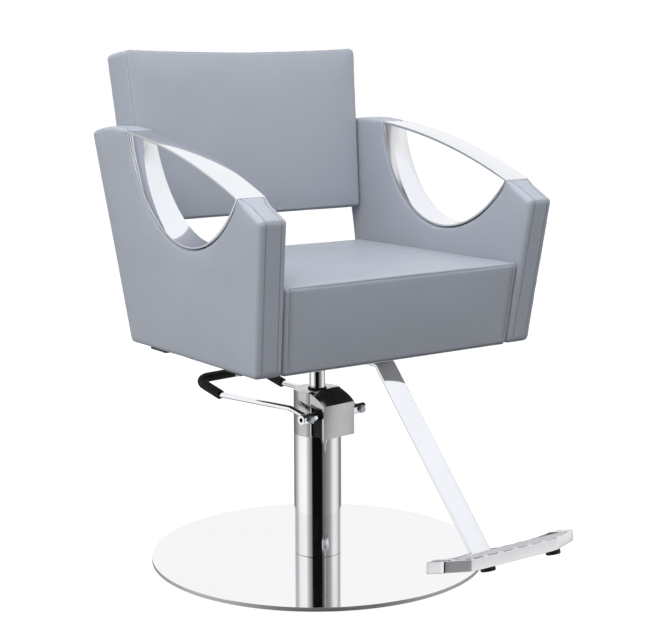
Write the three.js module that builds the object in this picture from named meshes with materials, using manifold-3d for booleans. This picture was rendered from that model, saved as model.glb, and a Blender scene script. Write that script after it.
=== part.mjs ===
// A hydraulic hair-styling chair, as the separate pieces that it comes apart into on a bench.
// Millimetres, +Z up, the chair facing -Y. The origin is the centre of the base's underside, on
// the column's axis. Left and right are the sitter's own, so left is +X.
import * as THREE from "three";
import { mergeVertices } from "three/addons/utils/BufferGeometryUtils.js";
import Module from "manifold-3d";

const wasm = await Module();
wasm.setup();

// ---- Driving dimensions ----------------------------------------------------------------------
const GAP = 0.3; // between pieces that touch
const BOLT_RADIUS = 4;
const BOLT_HEAD_RADIUS = 7.5;
const BOLT_HEAD_HEIGHT = 5;
const OVERSHOOT = 5; // how far a cutting tool runs past the face it cuts

// Base: a steel disc with a polished stainless skin, on a rubber pad
const BASE_RADIUS = 300;
const BASE_HEIGHT = 8;
const PAD_THICKNESS = 1.2;
const SKIN_THICKNESS = 0.8;
const SKIN_HOLE_RADIUS = 34;
const BASE_BOLT_CIRCLE = 28;
const BASE_BOLT_RADIUS = 5;
const BASE_BOLT_HEAD_RADIUS = 9.5;
const BASE_BOLT_HEAD_HEIGHT = 4.2;

// Pump column
const COLUMN_RADIUS = 42.5;
const SLEEVE_WALL = 1.5;
const FOOT_HEIGHT = 14;
const RESERVOIR_RADIUS = 39.8;
const RESERVOIR_WALL = 2.5;
const CYLINDER_RADIUS = 19;
const CYLINDER_WALL = 2.7;
const COLLAR_Z = 230; // where the sleeve ends and the pump's cowl begins
const COWL_TOP_Z = 309.5;
const COWL_WALL = 2;

// Pump head, drawn straight and then turned as one on the column
const PUMP_YAW = THREE.MathUtils.degToRad(7.1);
const COWL_HALF_WIDTH = 37;
const COWL_FRONT_Y = -56.8;
const COWL_BROW_Z = 289.5; // top of the cowl's upright front
const COWL_ROOF_Y = -20; // where the flat top starts to fall
const COWL_SHOULDER_Y = -48.5; // where the roof starts to turn down to the brow
const SLOT_FRONT_Y = -52.4; // the cheek slots that the cross shaft passes through
const SLOT_BACK_Y = -24;
const SLOT_TOP_Z = 284;

// Pedal: a cross shaft through the head, and a bail around the column to the foot grip behind
const SHAFT_Y = -40;
const SHAFT_Z = 270;
const SHAFT_RADIUS = 9;
const SHAFT_HALF_LENGTH = 75.5;
const ROD_RADIUS = 5;
const ROD_RISE = THREE.MathUtils.degToRad(12.4); // from the shaft up to its first bend
const ROD_BEND = new THREE.Vector3(61, 4.5, 281.8);
const GRIP_START = new THREE.Vector3(75.8, 181, 280.2);
const GRIP_CORNER = new THREE.Vector3(76, 253, 298);
const GRIP_CORNER_RADIUS = 30;
const ROD_BEND_RADIUS = 30;
const ROD_HOLE_REACH = 19; // from the rod's end to the middle of the hole that takes it
const GRIP_RADIUS = 9;

// Plunger under the rocker, off to one side of the ram
const PLUNGER_X = 22;
const PLUNGER_Y = -16;
const PLUNGER_RADIUS = 6;
const PLUNGER_HEAD_RADIUS = 9;
const PLUNGER_HEAD_HEIGHT = 4;
const PLUNGER_FOOT_Z = 226;
const SPRING_SEAT_Z = 236;
const SPRING_RADIUS = 7.9;
const SPRING_WIRE_RADIUS = 0.8;
const SPRING_TURNS = 5;
const ROCKER_THICKNESS = 12;
const ROCKER_HUB_RADIUS = 13;
const ROCKER_NOSE_RADIUS = 5;

// Ram and piston
const RAM_RADIUS = 14;
const RAM_FOOT_Z = 50;
const RAM_TOP_Z = 384;
const PISTON_RADIUS = 15.7;
const PISTON_FOOT_Z = 30;
const SEAL_RADIUS = 16;

// Steelwork under the seat, from the top down
const UNDERSIDE_Z = 399.2; // the underside of the seat and arms
const BAR_THICKNESS = 4;
const BAR_DEPTH = 50;
const BAR_HALF_LENGTH = 272;
const BAR_YS = [-150, 90]; // front and rear cross bars
const PLATE_THICKNESS = 5;
const PLATE_HALF_WIDTH = 80;
const PLATE_FRONT_Y = -185;
const PLATE_REAR_Y = 115;
const HUB_RADIUS = 25;
const HUB_FOOT_Z = 362;
const PLATE_BOLT_X = 65;
const PLATE_BOLT_LENGTH = 22;
const ARM_BOLT_LENGTH = 40;
const ARM_BOLT_INSET = 26; // from the arm's inner face to its bolts

// Seat
const CLOTH_THICKNESS = 0.8;
const SEAT_TOP_Z = 543;
const SEAT_FRONT_FOOT_Y = -238;
const SEAT_FRONT_TOP_Y = -256;
const SEAT_REAR_Y = 185;
const SEAT_CLEARANCE = 1; // between the cushion's sides and the arms
const BOARD_THICKNESS = 15;
const BOARD_INSET = 14; // of a board's edge from its cushion's

// Arms: slabs that lean outwards and toe in a little towards the back
const ARM_WIDTH = 52.4;
const ARM_INNER_X = 210.7; // the inner face at y = 0, z = 0
const ARM_TOE = -0.018; // x gained for each millimetre back
const ARM_SPLAY = 0.052; // x gained for each millimetre up
const ARM_FRONT_FOOT_Y = -238;
const ARM_FRONT_TOP = [-277, 650];
const BAND_FRONT = [-212, 684];
const BAND_REAR = [132, 771];
const BAND_TOP_RISE = 13.1; // the arc's rise over its chord
const ARM_REAR_TOP = [265, 764];
const ARM_REAR_RISE = 7.9;
const ARM_REAR_FOOT_Y = 171;
const SCOOP_CENTRE = [-68.8, 857.6]; // the ellipse that the arm's opening follows
const SCOOP_RADII = [202.6, 267.1];
const SCOOP_TURN = THREE.MathUtils.degToRad(7.85);
const BAND_TOP_THICKNESS = 4.5;
const BAND_LINING = 3;
const CORE_THICKNESS = 25;
const CORE_OUTLINE = [
  [-226, UNDERSIDE_Z],
  [160, UNDERSIDE_Z],
  [245, 748],
  [150, 755],
  [110, 670],
  [60, 610],
  [0, 575],
  [-66, 572],
  [-238, 642],
  [-258, 628],
];

// Backrest, held between the arms
const BACK_FOOT = [183.6, 607.2]; // the lower edge of its front face
const BACK_TOP = [223.3, 906.4];
const BACK_THICKNESS = 71;
const BACK_HALF_FOOT = 235.2;
const BACK_HALF_TOP = 249.6;
const BACK_BOARD_DEPTH = 14; // foam in front of the board
const BACK_BOARD_THICKNESS = 18;
const BACK_STUDS = [
  [209, 640],
  [222, 740],
];
const STUD_RADIUS = 4;
const STUD_LENGTH = 50;

// Footrest: a bent flat bar down to a T-shaped tread
const STRUT_WIDTH = 40;
const STRUT_THICKNESS = 7;
const STRUT_REAR_Y = -40;
const STRUT_BEND_RADIUS = 20;
const STRUT_FOOT = [-454.4, 115];
const STRUT_SLOPE = 250 / 265; // millimetres forwards for each millimetre down
const STRUT_BOLT_YS = [-165, -110];
const TREAD_FRONT_Y = -525;
const TREAD_FRONT_Z = 148;
const TREAD_TILT = THREE.MathUtils.degToRad(17);
const TREAD_THICKNESS = 19;
const TREAD_OUTLINE = [
  [-90, -525],
  [90, -525],
  [135, -514],
  [135, -472],
  [110, -463],
  [32, -459],
  [32, -436],
  [-32, -436],
  [-32, -459],
  [-110, -463],
  [-135, -472],
  [-135, -514],
];
const TREAD_RIB_COUNT = 9;
const TREAD_RIB_PITCH = 30;
const TREAD_RIB_WIDTH = 13;
const TREAD_RIB_HEIGHT = 2.2;
const TREAD_RIB_REAR_Y = -466;
const TREAD_ROOM = 140; // more than the tread's half width
const BUMPERS = [
  ["right", -42],
  ["left", 95],
];
const BUMPER_Y = -508;
const BUMPER_RADIUS = 12;
const BUMPER_HEIGHT = 7;

// Facets round a turned piece
const FINE = 60;
const MEDIUM = 36;
const COARSE = 24;
const BOLT = 8;
const ROD_FACETS = 10;

// ---- Heights that follow from them ------------------------------------------------------------
const PLATE_UNDER_SKIN = BASE_HEIGHT - SKIN_THICKNESS - GAP;
const FOOT_Z = BASE_HEIGHT + GAP;
const FOOT_TOP_Z = FOOT_Z + FOOT_HEIGHT;
const TUBE_FOOT_Z = FOOT_TOP_Z + GAP;
const HEAD_Z = COLLAR_Z + 1;
const HEAD_BARREL_RADIUS = 38;
const HEAD_BARREL_TOP_Z = 300;
const HEAD_NOSE_HALF_WIDTH = 33.5;
const HEAD_NOSE_FRONT_Y = -52.5;
const ROCKER_POCKET_FOOT_Z = 254;
const ROCKER_POCKET_REAR_Y = -6;
const TUBE_TOP_Z = HEAD_Z - GAP;
const BAR_TOP_Z = UNDERSIDE_Z - GAP;
const BAR_FOOT_Z = BAR_TOP_Z - BAR_THICKNESS;
const PLATE_TOP_Z = BAR_FOOT_Z - GAP;
const PLATE_FOOT_Z = PLATE_TOP_Z - PLATE_THICKNESS;
const TONGUE_TOP_Z = PLATE_FOOT_Z - GAP;
const CUSHION_Z = UNDERSIDE_Z + CLOTH_THICKNESS + GAP;
const STRUT_BEND_Y = STRUT_FOOT[0] + STRUT_SLOPE * (TONGUE_TOP_Z - STRUT_FOOT[1]);
const BACK_LEAN = Math.atan2(BACK_TOP[0] - BACK_FOOT[0], BACK_TOP[1] - BACK_FOOT[1]);

// ---- Materials --------------------------------------------------------------------------------
function finish(color, roughness, metalness) {
  return () => new THREE.MeshStandardMaterial({ color, roughness, metalness });
}
const mirrorSteel = finish(0xe6e8ea, 0.05, 1);
const chrome = finish(0xd9dde2, 0.08, 1);
const castAluminium = finish(0xc9cbce, 0.35, 1);
const darkSteel = finish(0x2a2b2d, 0.5, 0.6);
const brightSteel = finish(0x9fa2a6, 0.4, 1);
const castIron = finish(0x202124, 0.7, 0.5);
const rubber = finish(0x171718, 0.8, 0);
const leatherette = finish(0x8b929f, 0.5, 0);
const plywood = finish(0xb9935f, 0.7, 0);
const liningCloth = finish(0x141414, 0.95, 0);

// ---- Solids -----------------------------------------------------------------------------------
// A closed geometry as a manifold solid, for cutting and joining.
function solid(geometry) {
  const bare = new THREE.BufferGeometry();
  bare.setAttribute("position", geometry.getAttribute("position"));
  bare.setIndex(geometry.index);
  const merged = mergeVertices(bare, 1e-3);
  return new wasm.Manifold(
    new wasm.Mesh({
      numProp: 3,
      vertProperties: merged.attributes.position.array,
      triVerts: new Uint32Array(merged.index.array),
    }),
  );
}

function geometryOf(body) {
  const mesh = body.getMesh();
  const geometry = new THREE.BufferGeometry();
  geometry.setAttribute("position", new THREE.BufferAttribute(mesh.vertProperties, 3));
  geometry.setIndex(new THREE.BufferAttribute(mesh.triVerts, 1));
  geometry.computeVertexNormals();
  return geometry;
}

function cut(body, ...tools) {
  return geometryOf(tools.reduce((left, tool) => left.subtract(solid(tool)), solid(body)));
}

function join(...bodies) {
  return geometryOf(bodies.slice(1).reduce((sum, body) => sum.add(solid(body)), solid(bodies[0])));
}

function common(body, other) {
  return geometryOf(solid(body).intersect(solid(other)));
}

// A solid of revolution about Z. The profile is [radius, z] points, counterclockwise when z is
// drawn up; one that does not start and end on the axis closes on itself.
function turned(profile, facets) {
  const points = profile.map(([r, z]) => new THREE.Vector2(r, z));
  if (points[0].x > 0) points.push(points[0].clone());
  return new THREE.LatheGeometry(points, facets).rotateX(Math.PI / 2);
}

function disc(radius, low, high, facets) {
  return turned([[0, low], [radius, low], [radius, high], [0, high]], facets);
}

function tube(outer, inner, low, high, facets) {
  return turned([[inner, low], [outer, low], [outer, high], [inner, high]], facets);
}

function block([x0, y0, z0], [x1, y1, z1]) {
  const box = new THREE.BoxGeometry(x1 - x0, y1 - y0, z1 - z0);
  return box.translate((x0 + x1) / 2, (y0 + y1) / 2, (z0 + z1) / 2);
}

function outlineShape(points) {
  return new THREE.Shape(points.map(([u, v]) => new THREE.Vector2(u, v)));
}

// An [x, y] outline raised from one height to another.
function raised(points, low, high) {
  const options = { depth: high - low, bevelEnabled: false };
  return new THREE.ExtrudeGeometry(outlineShape(points), options).translate(0, 0, low);
}

// A [y, z] outline carried across from one x to another.
function across(points, x0, x1) {
  const options = { depth: x1 - x0, bevelEnabled: false };
  const toSide = new THREE.Matrix4().set(0, 0, 1, x0, 1, 0, 0, 0, 0, 1, 0, 0, 0, 0, 0, 1);
  return new THREE.ExtrudeGeometry(outlineShape(points), options).applyMatrix4(toSide);
}

// A ring or round section swept along a path.
function swept(path, steps, radius, bore) {
  const section = new THREE.Shape().absarc(0, 0, radius, 0, 2 * Math.PI);
  if (bore) section.holes.push(new THREE.Path().absarc(0, 0, bore, 0, 2 * Math.PI, true));
  const options = { steps, extrudePath: path, curveSegments: ROD_FACETS / 2, bevelEnabled: false };
  return new THREE.ExtrudeGeometry(section, options);
}

// Points of the arc between two points that rises to the left of the way from one to the other.
function arc([u0, v0], [u1, v1], rise, steps) {
  const chord = Math.hypot(u1 - u0, v1 - v0);
  const radius = (chord * chord) / (8 * rise) + rise / 2;
  const half = Math.asin(chord / 2 / radius);
  const along = [(u1 - u0) / chord, (v1 - v0) / chord];
  return Array.from({ length: steps + 1 }, (_, i) => {
    const angle = half * ((2 * i) / steps - 1);
    const s = chord / 2 + radius * Math.sin(angle);
    const h = radius * Math.cos(angle) - radius + rise;
    return [u0 + along[0] * s - along[1] * h, v0 + along[1] * s + along[0] * h];
  });
}

// A counterclockwise outline with every side moved inwards, or outwards by a negative distance.
function inset(points, distance) {
  const normal = ([u0, v0], [u1, v1]) => {
    const length = Math.hypot(u1 - u0, v1 - v0);
    return [(v0 - v1) / length, (u1 - u0) / length];
  };
  return points.map((point, i) => {
    const before = normal(points.at(i - 1), point);
    const after = normal(point, points[(i + 1) % points.length]);
    const scale = distance / (1 + before[0] * after[0] + before[1] * after[1]);
    return [point[0] + (before[0] + after[0]) * scale, point[1] + (before[1] + after[1]) * scale];
  });
}

function ellipse([u, v], [ru, rv], turn, steps) {
  const curve = new THREE.EllipseCurve(u, v, ru, rv, 0, 2 * Math.PI, false, turn);
  return curve.getPoints(steps).slice(0, -1).map((p) => [p.x, p.y]);
}

// A hexagon-headed bolt standing on its head, its shank from z = 0 up.
function bolt(radius, length, headRadius = BOLT_HEAD_RADIUS, headHeight = BOLT_HEAD_HEIGHT) {
  const head = new THREE.CylinderGeometry(headRadius, headRadius, headHeight, 6);
  head.rotateX(Math.PI / 2).translate(0, 0, -headHeight / 2);
  return join(head, disc(radius, -headHeight / 2, length, BOLT));
}

function piece(name, geometry, makeMaterial) {
  const mesh = new THREE.Mesh(geometry, makeMaterial());
  mesh.name = name;
  return mesh;
}

function group(...children) {
  const made = new THREE.Group();
  made.add(...children);
  return made;
}

// A hole of a bolt's radius with running room, upright at x, y.
function holeAt(x, y, radius, low, high) {
  return disc(radius + GAP, low, high, BOLT).translate(x, y, 0);
}

// ---- Base -------------------------------------------------------------------------------------
const baseBoltPlaces = [45, 135, 225, 315].map((degrees) => {
  const angle = THREE.MathUtils.degToRad(degrees);
  return [BASE_BOLT_CIRCLE * Math.cos(angle), BASE_BOLT_CIRCLE * Math.sin(angle)];
});

// A flat-headed bolt from its head at foot up to top, or with room round it, the hole for one.
function countersunk(foot, top, room) {
  const head = BASE_BOLT_HEAD_RADIUS + room;
  const shank = BASE_BOLT_RADIUS + room;
  const profile = [
    [0, foot - 3 * room],
    [head, foot - 3 * room],
    [head, foot],
    [shank, foot + BASE_BOLT_HEAD_HEIGHT],
    [shank, top],
    [0, top],
  ];
  return turned(room ? profile : profile.slice(2).concat([[0, foot]]), BOLT);
}

function makeBase() {
  const plateFoot = PAD_THICKNESS + GAP;
  const boltFoot = plateFoot + GAP;
  const sinks = baseBoltPlaces.map(([x, y]) =>
    countersunk(boltFoot, BASE_HEIGHT, GAP).translate(x, y, 0),
  );
  const plateRadius = BASE_RADIUS - SKIN_THICKNESS - GAP;
  const plate = cut(disc(plateRadius, plateFoot, PLATE_UNDER_SKIN, FINE), ...sinks);
  const skinInner = BASE_RADIUS - SKIN_THICKNESS;
  const skinUnder = BASE_HEIGHT - SKIN_THICKNESS;
  const skin = turned(
    [
      [SKIN_HOLE_RADIUS, skinUnder],
      [skinInner, skinUnder],
      [skinInner, plateFoot],
      [BASE_RADIUS, plateFoot],
      [BASE_RADIUS, BASE_HEIGHT - SKIN_THICKNESS],
      [BASE_RADIUS - SKIN_THICKNESS, BASE_HEIGHT],
      [SKIN_HOLE_RADIUS, BASE_HEIGHT],
    ],
    FINE,
  );
  const bolts = baseBoltPlaces.map(([x, y], i) => {
    const mesh = piece(`base_bolt_${i + 1}`, countersunk(boltFoot, FOOT_TOP_Z - 3, 0), darkSteel);
    mesh.position.set(x, y, 0);
    return mesh;
  });
  return group(
    piece("base_floor_pad", disc(BASE_RADIUS - 8, 0, PAD_THICKNESS, FINE), rubber),
    piece("base_plate", plate, darkSteel),
    piece("base_cover", skin, mirrorSteel),
    ...bolts,
  );
}

// ---- Column -----------------------------------------------------------------------------------
function makeColumn() {
  const boltHoles = baseBoltPlaces.map(([x, y]) =>
    holeAt(x, y, BASE_BOLT_RADIUS, FOOT_Z - OVERSHOOT, FOOT_TOP_Z - 2),
  );
  const foot = cut(disc(RESERVOIR_RADIUS, FOOT_Z, FOOT_TOP_Z, MEDIUM), ...boltHoles);
  const sleeveTop = COLLAR_Z - GAP;
  const sleeveInner = COLUMN_RADIUS - SLEEVE_WALL;
  const reservoirInner = RESERVOIR_RADIUS - RESERVOIR_WALL;
  const cylinderInner = CYLINDER_RADIUS - CYLINDER_WALL;
  return group(
    piece("pump_foot_flange", foot, castIron),
    piece(
      "pump_reservoir_tube",
      tube(RESERVOIR_RADIUS, reservoirInner, TUBE_FOOT_Z, TUBE_TOP_Z, MEDIUM),
      brightSteel,
    ),
    piece(
      "pump_cylinder",
      tube(CYLINDER_RADIUS, cylinderInner, TUBE_FOOT_Z, TUBE_TOP_Z, COARSE),
      brightSteel,
    ),
    piece("column_sleeve", tube(COLUMN_RADIUS, sleeveInner, FOOT_Z, sleeveTop, FINE), chrome),
  );
}

// ---- Pump head --------------------------------------------------------------------------------
// The cowl's side view, from the collar up to the brow and back over the roof; inset moves every
// face in by the wall.
function cowlSideView(inset) {
  const front = COWL_FRONT_Y + inset;
  const top = COWL_TOP_Z - inset;
  const low = inset ? COLLAR_Z - OVERSHOOT : COLLAR_Z;
  const roof = new THREE.QuadraticBezierCurve(
    new THREE.Vector2(front, COWL_BROW_Z - inset / 2),
    new THREE.Vector2(COWL_SHOULDER_Y + inset, top),
    new THREE.Vector2(COWL_ROOF_Y, top),
  );
  return [[0, low], [front, low], ...roof.getPoints(8).map((p) => [p.x, p.y]), [0, top]].reverse();
}

function cowlForm(inset) {
  const half = COWL_HALF_WIDTH - inset;
  const low = inset ? COLLAR_Z - OVERSHOOT : COLLAR_Z;
  return join(
    disc(COLUMN_RADIUS - inset, low, COWL_TOP_Z - inset, FINE),
    across(cowlSideView(inset), -half, half),
  );
}

function makeCowl() {
  const cheekSlots = block(
    [-COLUMN_RADIUS, SLOT_FRONT_Y, COLLAR_Z - OVERSHOOT],
    [COLUMN_RADIUS, SLOT_BACK_Y, SLOT_TOP_Z],
  );
  const ramHole = disc(RAM_RADIUS + 2, SLOT_TOP_Z, COWL_TOP_Z + OVERSHOOT, MEDIUM);
  return cut(cowlForm(0), cowlForm(COWL_WALL), cheekSlots, ramHole);
}

// The casting that carries the ram, the cross shaft and the plunger.
function makeHeadCasting() {
  const body = join(
    disc(HEAD_BARREL_RADIUS, HEAD_Z, HEAD_BARREL_TOP_Z, MEDIUM),
    block([-HEAD_NOSE_HALF_WIDTH, HEAD_NOSE_FRONT_Y, HEAD_Z], [HEAD_NOSE_HALF_WIDTH, 0, SLOT_TOP_Z]),
  );
  const ramBore = disc(RAM_RADIUS + GAP, HEAD_Z - OVERSHOOT, COWL_TOP_Z, MEDIUM);
  const shaftBore = disc(SHAFT_RADIUS + 0.4, -SHAFT_HALF_LENGTH, SHAFT_HALF_LENGTH, COARSE)
    .rotateY(Math.PI / 2)
    .translate(0, SHAFT_Y, SHAFT_Z);
  const rockerPocket = block(
    [PLUNGER_X - ROCKER_THICKNESS / 2 - 1.5, HEAD_NOSE_FRONT_Y - OVERSHOOT, ROCKER_POCKET_FOOT_Z],
    [COLUMN_RADIUS, ROCKER_POCKET_REAR_Y, COWL_TOP_Z],
  );
  const springBore = disc(PLUNGER_HEAD_RADIUS + GAP, SPRING_SEAT_Z, COWL_TOP_Z, COARSE);
  const plungerBore = disc(PLUNGER_RADIUS + 0.2, HEAD_Z - OVERSHOOT, COWL_TOP_Z, COARSE);
  springBore.translate(PLUNGER_X, PLUNGER_Y, 0);
  plungerBore.translate(PLUNGER_X, PLUNGER_Y, 0);
  return cut(body, ramBore, shaftBore, rockerPocket, springBore, plungerBore);
}

// The rocker's nose presses on the plunger's head when the pedal goes down.
function makeRocker() {
  const reach = PLUNGER_Y - SHAFT_Y;
  const arm = [
    [SHAFT_Y, SHAFT_Z - ROCKER_NOSE_RADIUS],
    [PLUNGER_Y, SHAFT_Z - ROCKER_NOSE_RADIUS],
    [PLUNGER_Y, SHAFT_Z + ROCKER_NOSE_RADIUS],
    [SHAFT_Y + reach / 4, SHAFT_Z + ROCKER_HUB_RADIUS - 2],
    [SHAFT_Y, SHAFT_Z + ROCKER_HUB_RADIUS - 2],
  ];
  const hub = disc(ROCKER_HUB_RADIUS, 0, ROCKER_THICKNESS, COARSE);
  const nose = disc(ROCKER_NOSE_RADIUS, 0, ROCKER_THICKNESS, COARSE);
  const bore = disc(SHAFT_RADIUS + GAP, -OVERSHOOT, ROCKER_THICKNESS + OVERSHOOT, COARSE);
  const solidAcross = [hub, nose, bore].map((g) => g.rotateY(Math.PI / 2));
  solidAcross[0].translate(0, SHAFT_Y, SHAFT_Z);
  solidAcross[1].translate(0, PLUNGER_Y, SHAFT_Z);
  solidAcross[2].translate(0, SHAFT_Y, SHAFT_Z);
  const whole = join(solidAcross[0], solidAcross[1], across(arm, 0, ROCKER_THICKNESS));
  return cut(whole, solidAcross[2]).translate(PLUNGER_X - ROCKER_THICKNESS / 2, 0, 0);
}

function makePlunger() {
  const headTop = SHAFT_Z - ROCKER_NOSE_RADIUS - GAP;
  const headFoot = headTop - PLUNGER_HEAD_HEIGHT;
  const profile = [
    [0, PLUNGER_FOOT_Z],
    [PLUNGER_RADIUS, PLUNGER_FOOT_Z],
    [PLUNGER_RADIUS, headFoot],
    [PLUNGER_HEAD_RADIUS - GAP, headFoot],
    [PLUNGER_HEAD_RADIUS - GAP, headTop],
    [0, headTop],
  ];
  return turned(profile, COARSE).translate(PLUNGER_X, PLUNGER_Y, 0);
}

class Helix extends THREE.Curve {
  constructor(radius, low, high, turns) {
    super();
    Object.assign(this, { radius, low, high, turns });
  }

  getPoint(t, target = new THREE.Vector3()) {
    const angle = 2 * Math.PI * this.turns * t;
    const height = THREE.MathUtils.lerp(this.low, this.high, t);
    return target.set(this.radius * Math.cos(angle), this.radius * Math.sin(angle), height);
  }
}

function makePlungerSpring() {
  const top = SHAFT_Z - ROCKER_NOSE_RADIUS - PLUNGER_HEAD_HEIGHT - 2 * GAP;
  const room = SPRING_WIRE_RADIUS + GAP;
  const helix = new Helix(SPRING_RADIUS, SPRING_SEAT_Z + room, top - room, SPRING_TURNS);
  const section = new THREE.Shape().absarc(0, 0, SPRING_WIRE_RADIUS, 0, 2 * Math.PI);
  const options = {
    steps: SPRING_TURNS * 10, extrudePath: helix, curveSegments: 3, bevelEnabled: false,
  };
  return new THREE.ExtrudeGeometry(section, options).translate(PLUNGER_X, PLUNGER_Y, 0);
}

// ---- Pedal ------------------------------------------------------------------------------------
const mirrored = (point) => new THREE.Vector3(-point.x, point.y, point.z);

// A path of straight runs joined by round corners.
function bentPath(points, radii) {
  const path = new THREE.CurvePath();
  let from = points[0];
  for (let i = 1; i < points.length - 1; i++) {
    const corner = points[i];
    const back = points[i - 1].clone().sub(corner).normalize();
    const on = points[i + 1].clone().sub(corner).normalize();
    const turn = Math.PI - back.angleTo(on);
    const reach = radii[i - 1] * Math.tan(turn / 2);
    const start = corner.clone().addScaledVector(back, reach);
    const end = corner.clone().addScaledVector(on, reach);
    const pull = (4 / 3) * Math.tan(turn / 4) * radii[i - 1];
    path.add(new THREE.LineCurve3(from, start));
    path.add(
      new THREE.CubicBezierCurve3(
        start,
        start.clone().addScaledVector(back, -pull),
        end.clone().addScaledVector(on, -pull),
        end,
      ),
    );
    from = end;
  }
  path.add(new THREE.LineCurve3(from, points[points.length - 1]));
  return path;
}

function makePedal() {
  const rodEnd = new THREE.Vector3(
    ROD_BEND.x,
    SHAFT_Y - ROD_RADIUS / 2,
    ROD_BEND.z - (ROD_BEND.y - SHAFT_Y + ROD_RADIUS / 2) * Math.tan(ROD_RISE),
  );
  const half = [rodEnd, ROD_BEND, GRIP_START, GRIP_CORNER];
  const bail = [...half, ...half.map(mirrored).reverse()];
  const halfRadii = [ROD_BEND_RADIUS, ROD_BEND_RADIUS, GRIP_CORNER_RADIUS];
  const rod = swept(bentPath(bail, [...halfRadii, ...halfRadii.toReversed()]), 60, ROD_RADIUS);
  const sleeve = bentPath(
    [GRIP_START, GRIP_CORNER, mirrored(GRIP_CORNER), mirrored(GRIP_START)],
    [GRIP_CORNER_RADIUS, GRIP_CORNER_RADIUS],
  );
  const grip = swept(sleeve, 24, GRIP_RADIUS, ROD_RADIUS + 0.9);
  const rodHole = new THREE.CylinderGeometry(ROD_RADIUS + 0.5, ROD_RADIUS + 0.5, 40, BOLT)
    .rotateX(ROD_RISE)
    .translate(ROD_BEND.x, rodEnd.y + ROD_HOLE_REACH, rodEnd.z + ROD_HOLE_REACH * Math.tan(ROD_RISE));
  const boltHole = disc(3 + GAP, 0, 20, BOLT)
    .rotateX(-Math.PI / 2)
    .translate(ROD_BEND.x, SHAFT_Y - SHAFT_RADIUS - OVERSHOOT, SHAFT_Z);
  const bothSides = [rodHole, boltHole].flatMap((hole) => [
    hole,
    hole.clone().translate(-2 * ROD_BEND.x, 0, 0),
  ]);
  const shaft = disc(SHAFT_RADIUS, -SHAFT_HALF_LENGTH, SHAFT_HALF_LENGTH, COARSE)
    .rotateY(Math.PI / 2)
    .translate(0, SHAFT_Y, SHAFT_Z);
  const clampBolts = [["right", -1], ["left", 1]].map(([side, sign]) => {
    const mesh = piece(`pedal_clamp_bolt_${side}`, bolt(3, 4.5, 7.2, 5), chrome);
    mesh.rotation.x = -Math.PI / 2;
    mesh.position.set(sign * ROD_BEND.x, SHAFT_Y - SHAFT_RADIUS - GAP, SHAFT_Z);
    return mesh;
  });
  return group(
    piece("pedal_cross_shaft", cut(shaft, ...bothSides), chrome),
    piece("pedal_rod", rod, chrome),
    piece("pedal_grip", grip, rubber),
    ...clampBolts,
  );
}

function makePumpHead() {
  const wiper = turned(
    [
      [RAM_RADIUS + GAP, COWL_TOP_Z - 3],
      [RAM_RADIUS + 1.6, COWL_TOP_Z - 3],
      [RAM_RADIUS + 1.6, COWL_TOP_Z + GAP],
      [RAM_RADIUS + 3, COWL_TOP_Z + GAP],
      [RAM_RADIUS + 2.4, COWL_TOP_Z + 3],
      [RAM_RADIUS + GAP, COWL_TOP_Z + 3],
    ],
    COARSE,
  );
  const head = group(
    piece("pump_head_casting", makeHeadCasting(), castIron),
    piece("pump_cowl", makeCowl(), chrome),
    piece("ram_wiper", wiper, rubber),
    piece("pump_rocker", makeRocker(), brightSteel),
    piece("pump_plunger", makePlunger(), brightSteel),
    piece("pump_plunger_spring", makePlungerSpring(), brightSteel),
    makePedal(),
  );
  head.rotation.z = PUMP_YAW;
  return head;
}

// ---- Ram --------------------------------------------------------------------------------------
function makeRam() {
  const grooveLow = PISTON_FOOT_Z + 7;
  const grooveHigh = PISTON_FOOT_Z + 13;
  const piston = turned(
    [
      [0, PISTON_FOOT_Z],
      [PISTON_RADIUS, PISTON_FOOT_Z],
      [PISTON_RADIUS, grooveLow],
      [PISTON_RADIUS - 3, grooveLow],
      [PISTON_RADIUS - 3, grooveHigh],
      [PISTON_RADIUS, grooveHigh],
      [PISTON_RADIUS, RAM_FOOT_Z - GAP],
      [0, RAM_FOOT_Z - GAP],
    ],
    COARSE,
  );
  const seal = tube(SEAL_RADIUS, PISTON_RADIUS - 3 + GAP, grooveLow + GAP, grooveHigh - GAP, COARSE);
  const taperFoot = HUB_FOOT_Z + 4;
  const ram = turned(
    [
      [0, RAM_FOOT_Z],
      [RAM_RADIUS, RAM_FOOT_Z],
      [RAM_RADIUS, taperFoot],
      [RAM_RADIUS - 1.5, RAM_TOP_Z],
      [0, RAM_TOP_Z],
    ],
    MEDIUM,
  );
  return group(
    piece("ram_piston", piston, brightSteel),
    piece("ram_piston_seal", seal, rubber),
    piece("ram", ram, chrome),
  );
}

// ---- Arms -------------------------------------------------------------------------------------
const armInner = (y, z) => ARM_INNER_X + ARM_TOE * y + ARM_SPLAY * z;

// Leans a piece drawn upright beside x = 0 out to the arm's place.
function splayed(geometry) {
  const lean = new THREE.Matrix4().makeShear(0, 0, ARM_TOE, 0, ARM_SPLAY, 0);
  return geometry.applyMatrix4(lean).translate(ARM_INNER_X, 0, 0);
}

function scoop(growth) {
  const radii = SCOOP_RADII.map((radius) => radius + growth);
  return ellipse(SCOOP_CENTRE, radii, SCOOP_TURN, 64);
}

// The region under the band's top face, lowered by drop.
function underBand(drop) {
  const top = arc(BAND_FRONT, BAND_REAR, BAND_TOP_RISE, 12).map(([y, z]) => [y, z - drop]);
  return [...top, [BAND_REAR[0], UNDERSIDE_Z], [BAND_FRONT[0], UNDERSIDE_Z]].reverse();
}

function studHole(y, z) {
  return disc(STUD_RADIUS + GAP, 0, STUD_LENGTH + 2 * GAP, BOLT)
    .rotateY(Math.PI / 2)
    .translate(armInner(y, z) - STUD_LENGTH / 2 - GAP, y, z);
}

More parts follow.
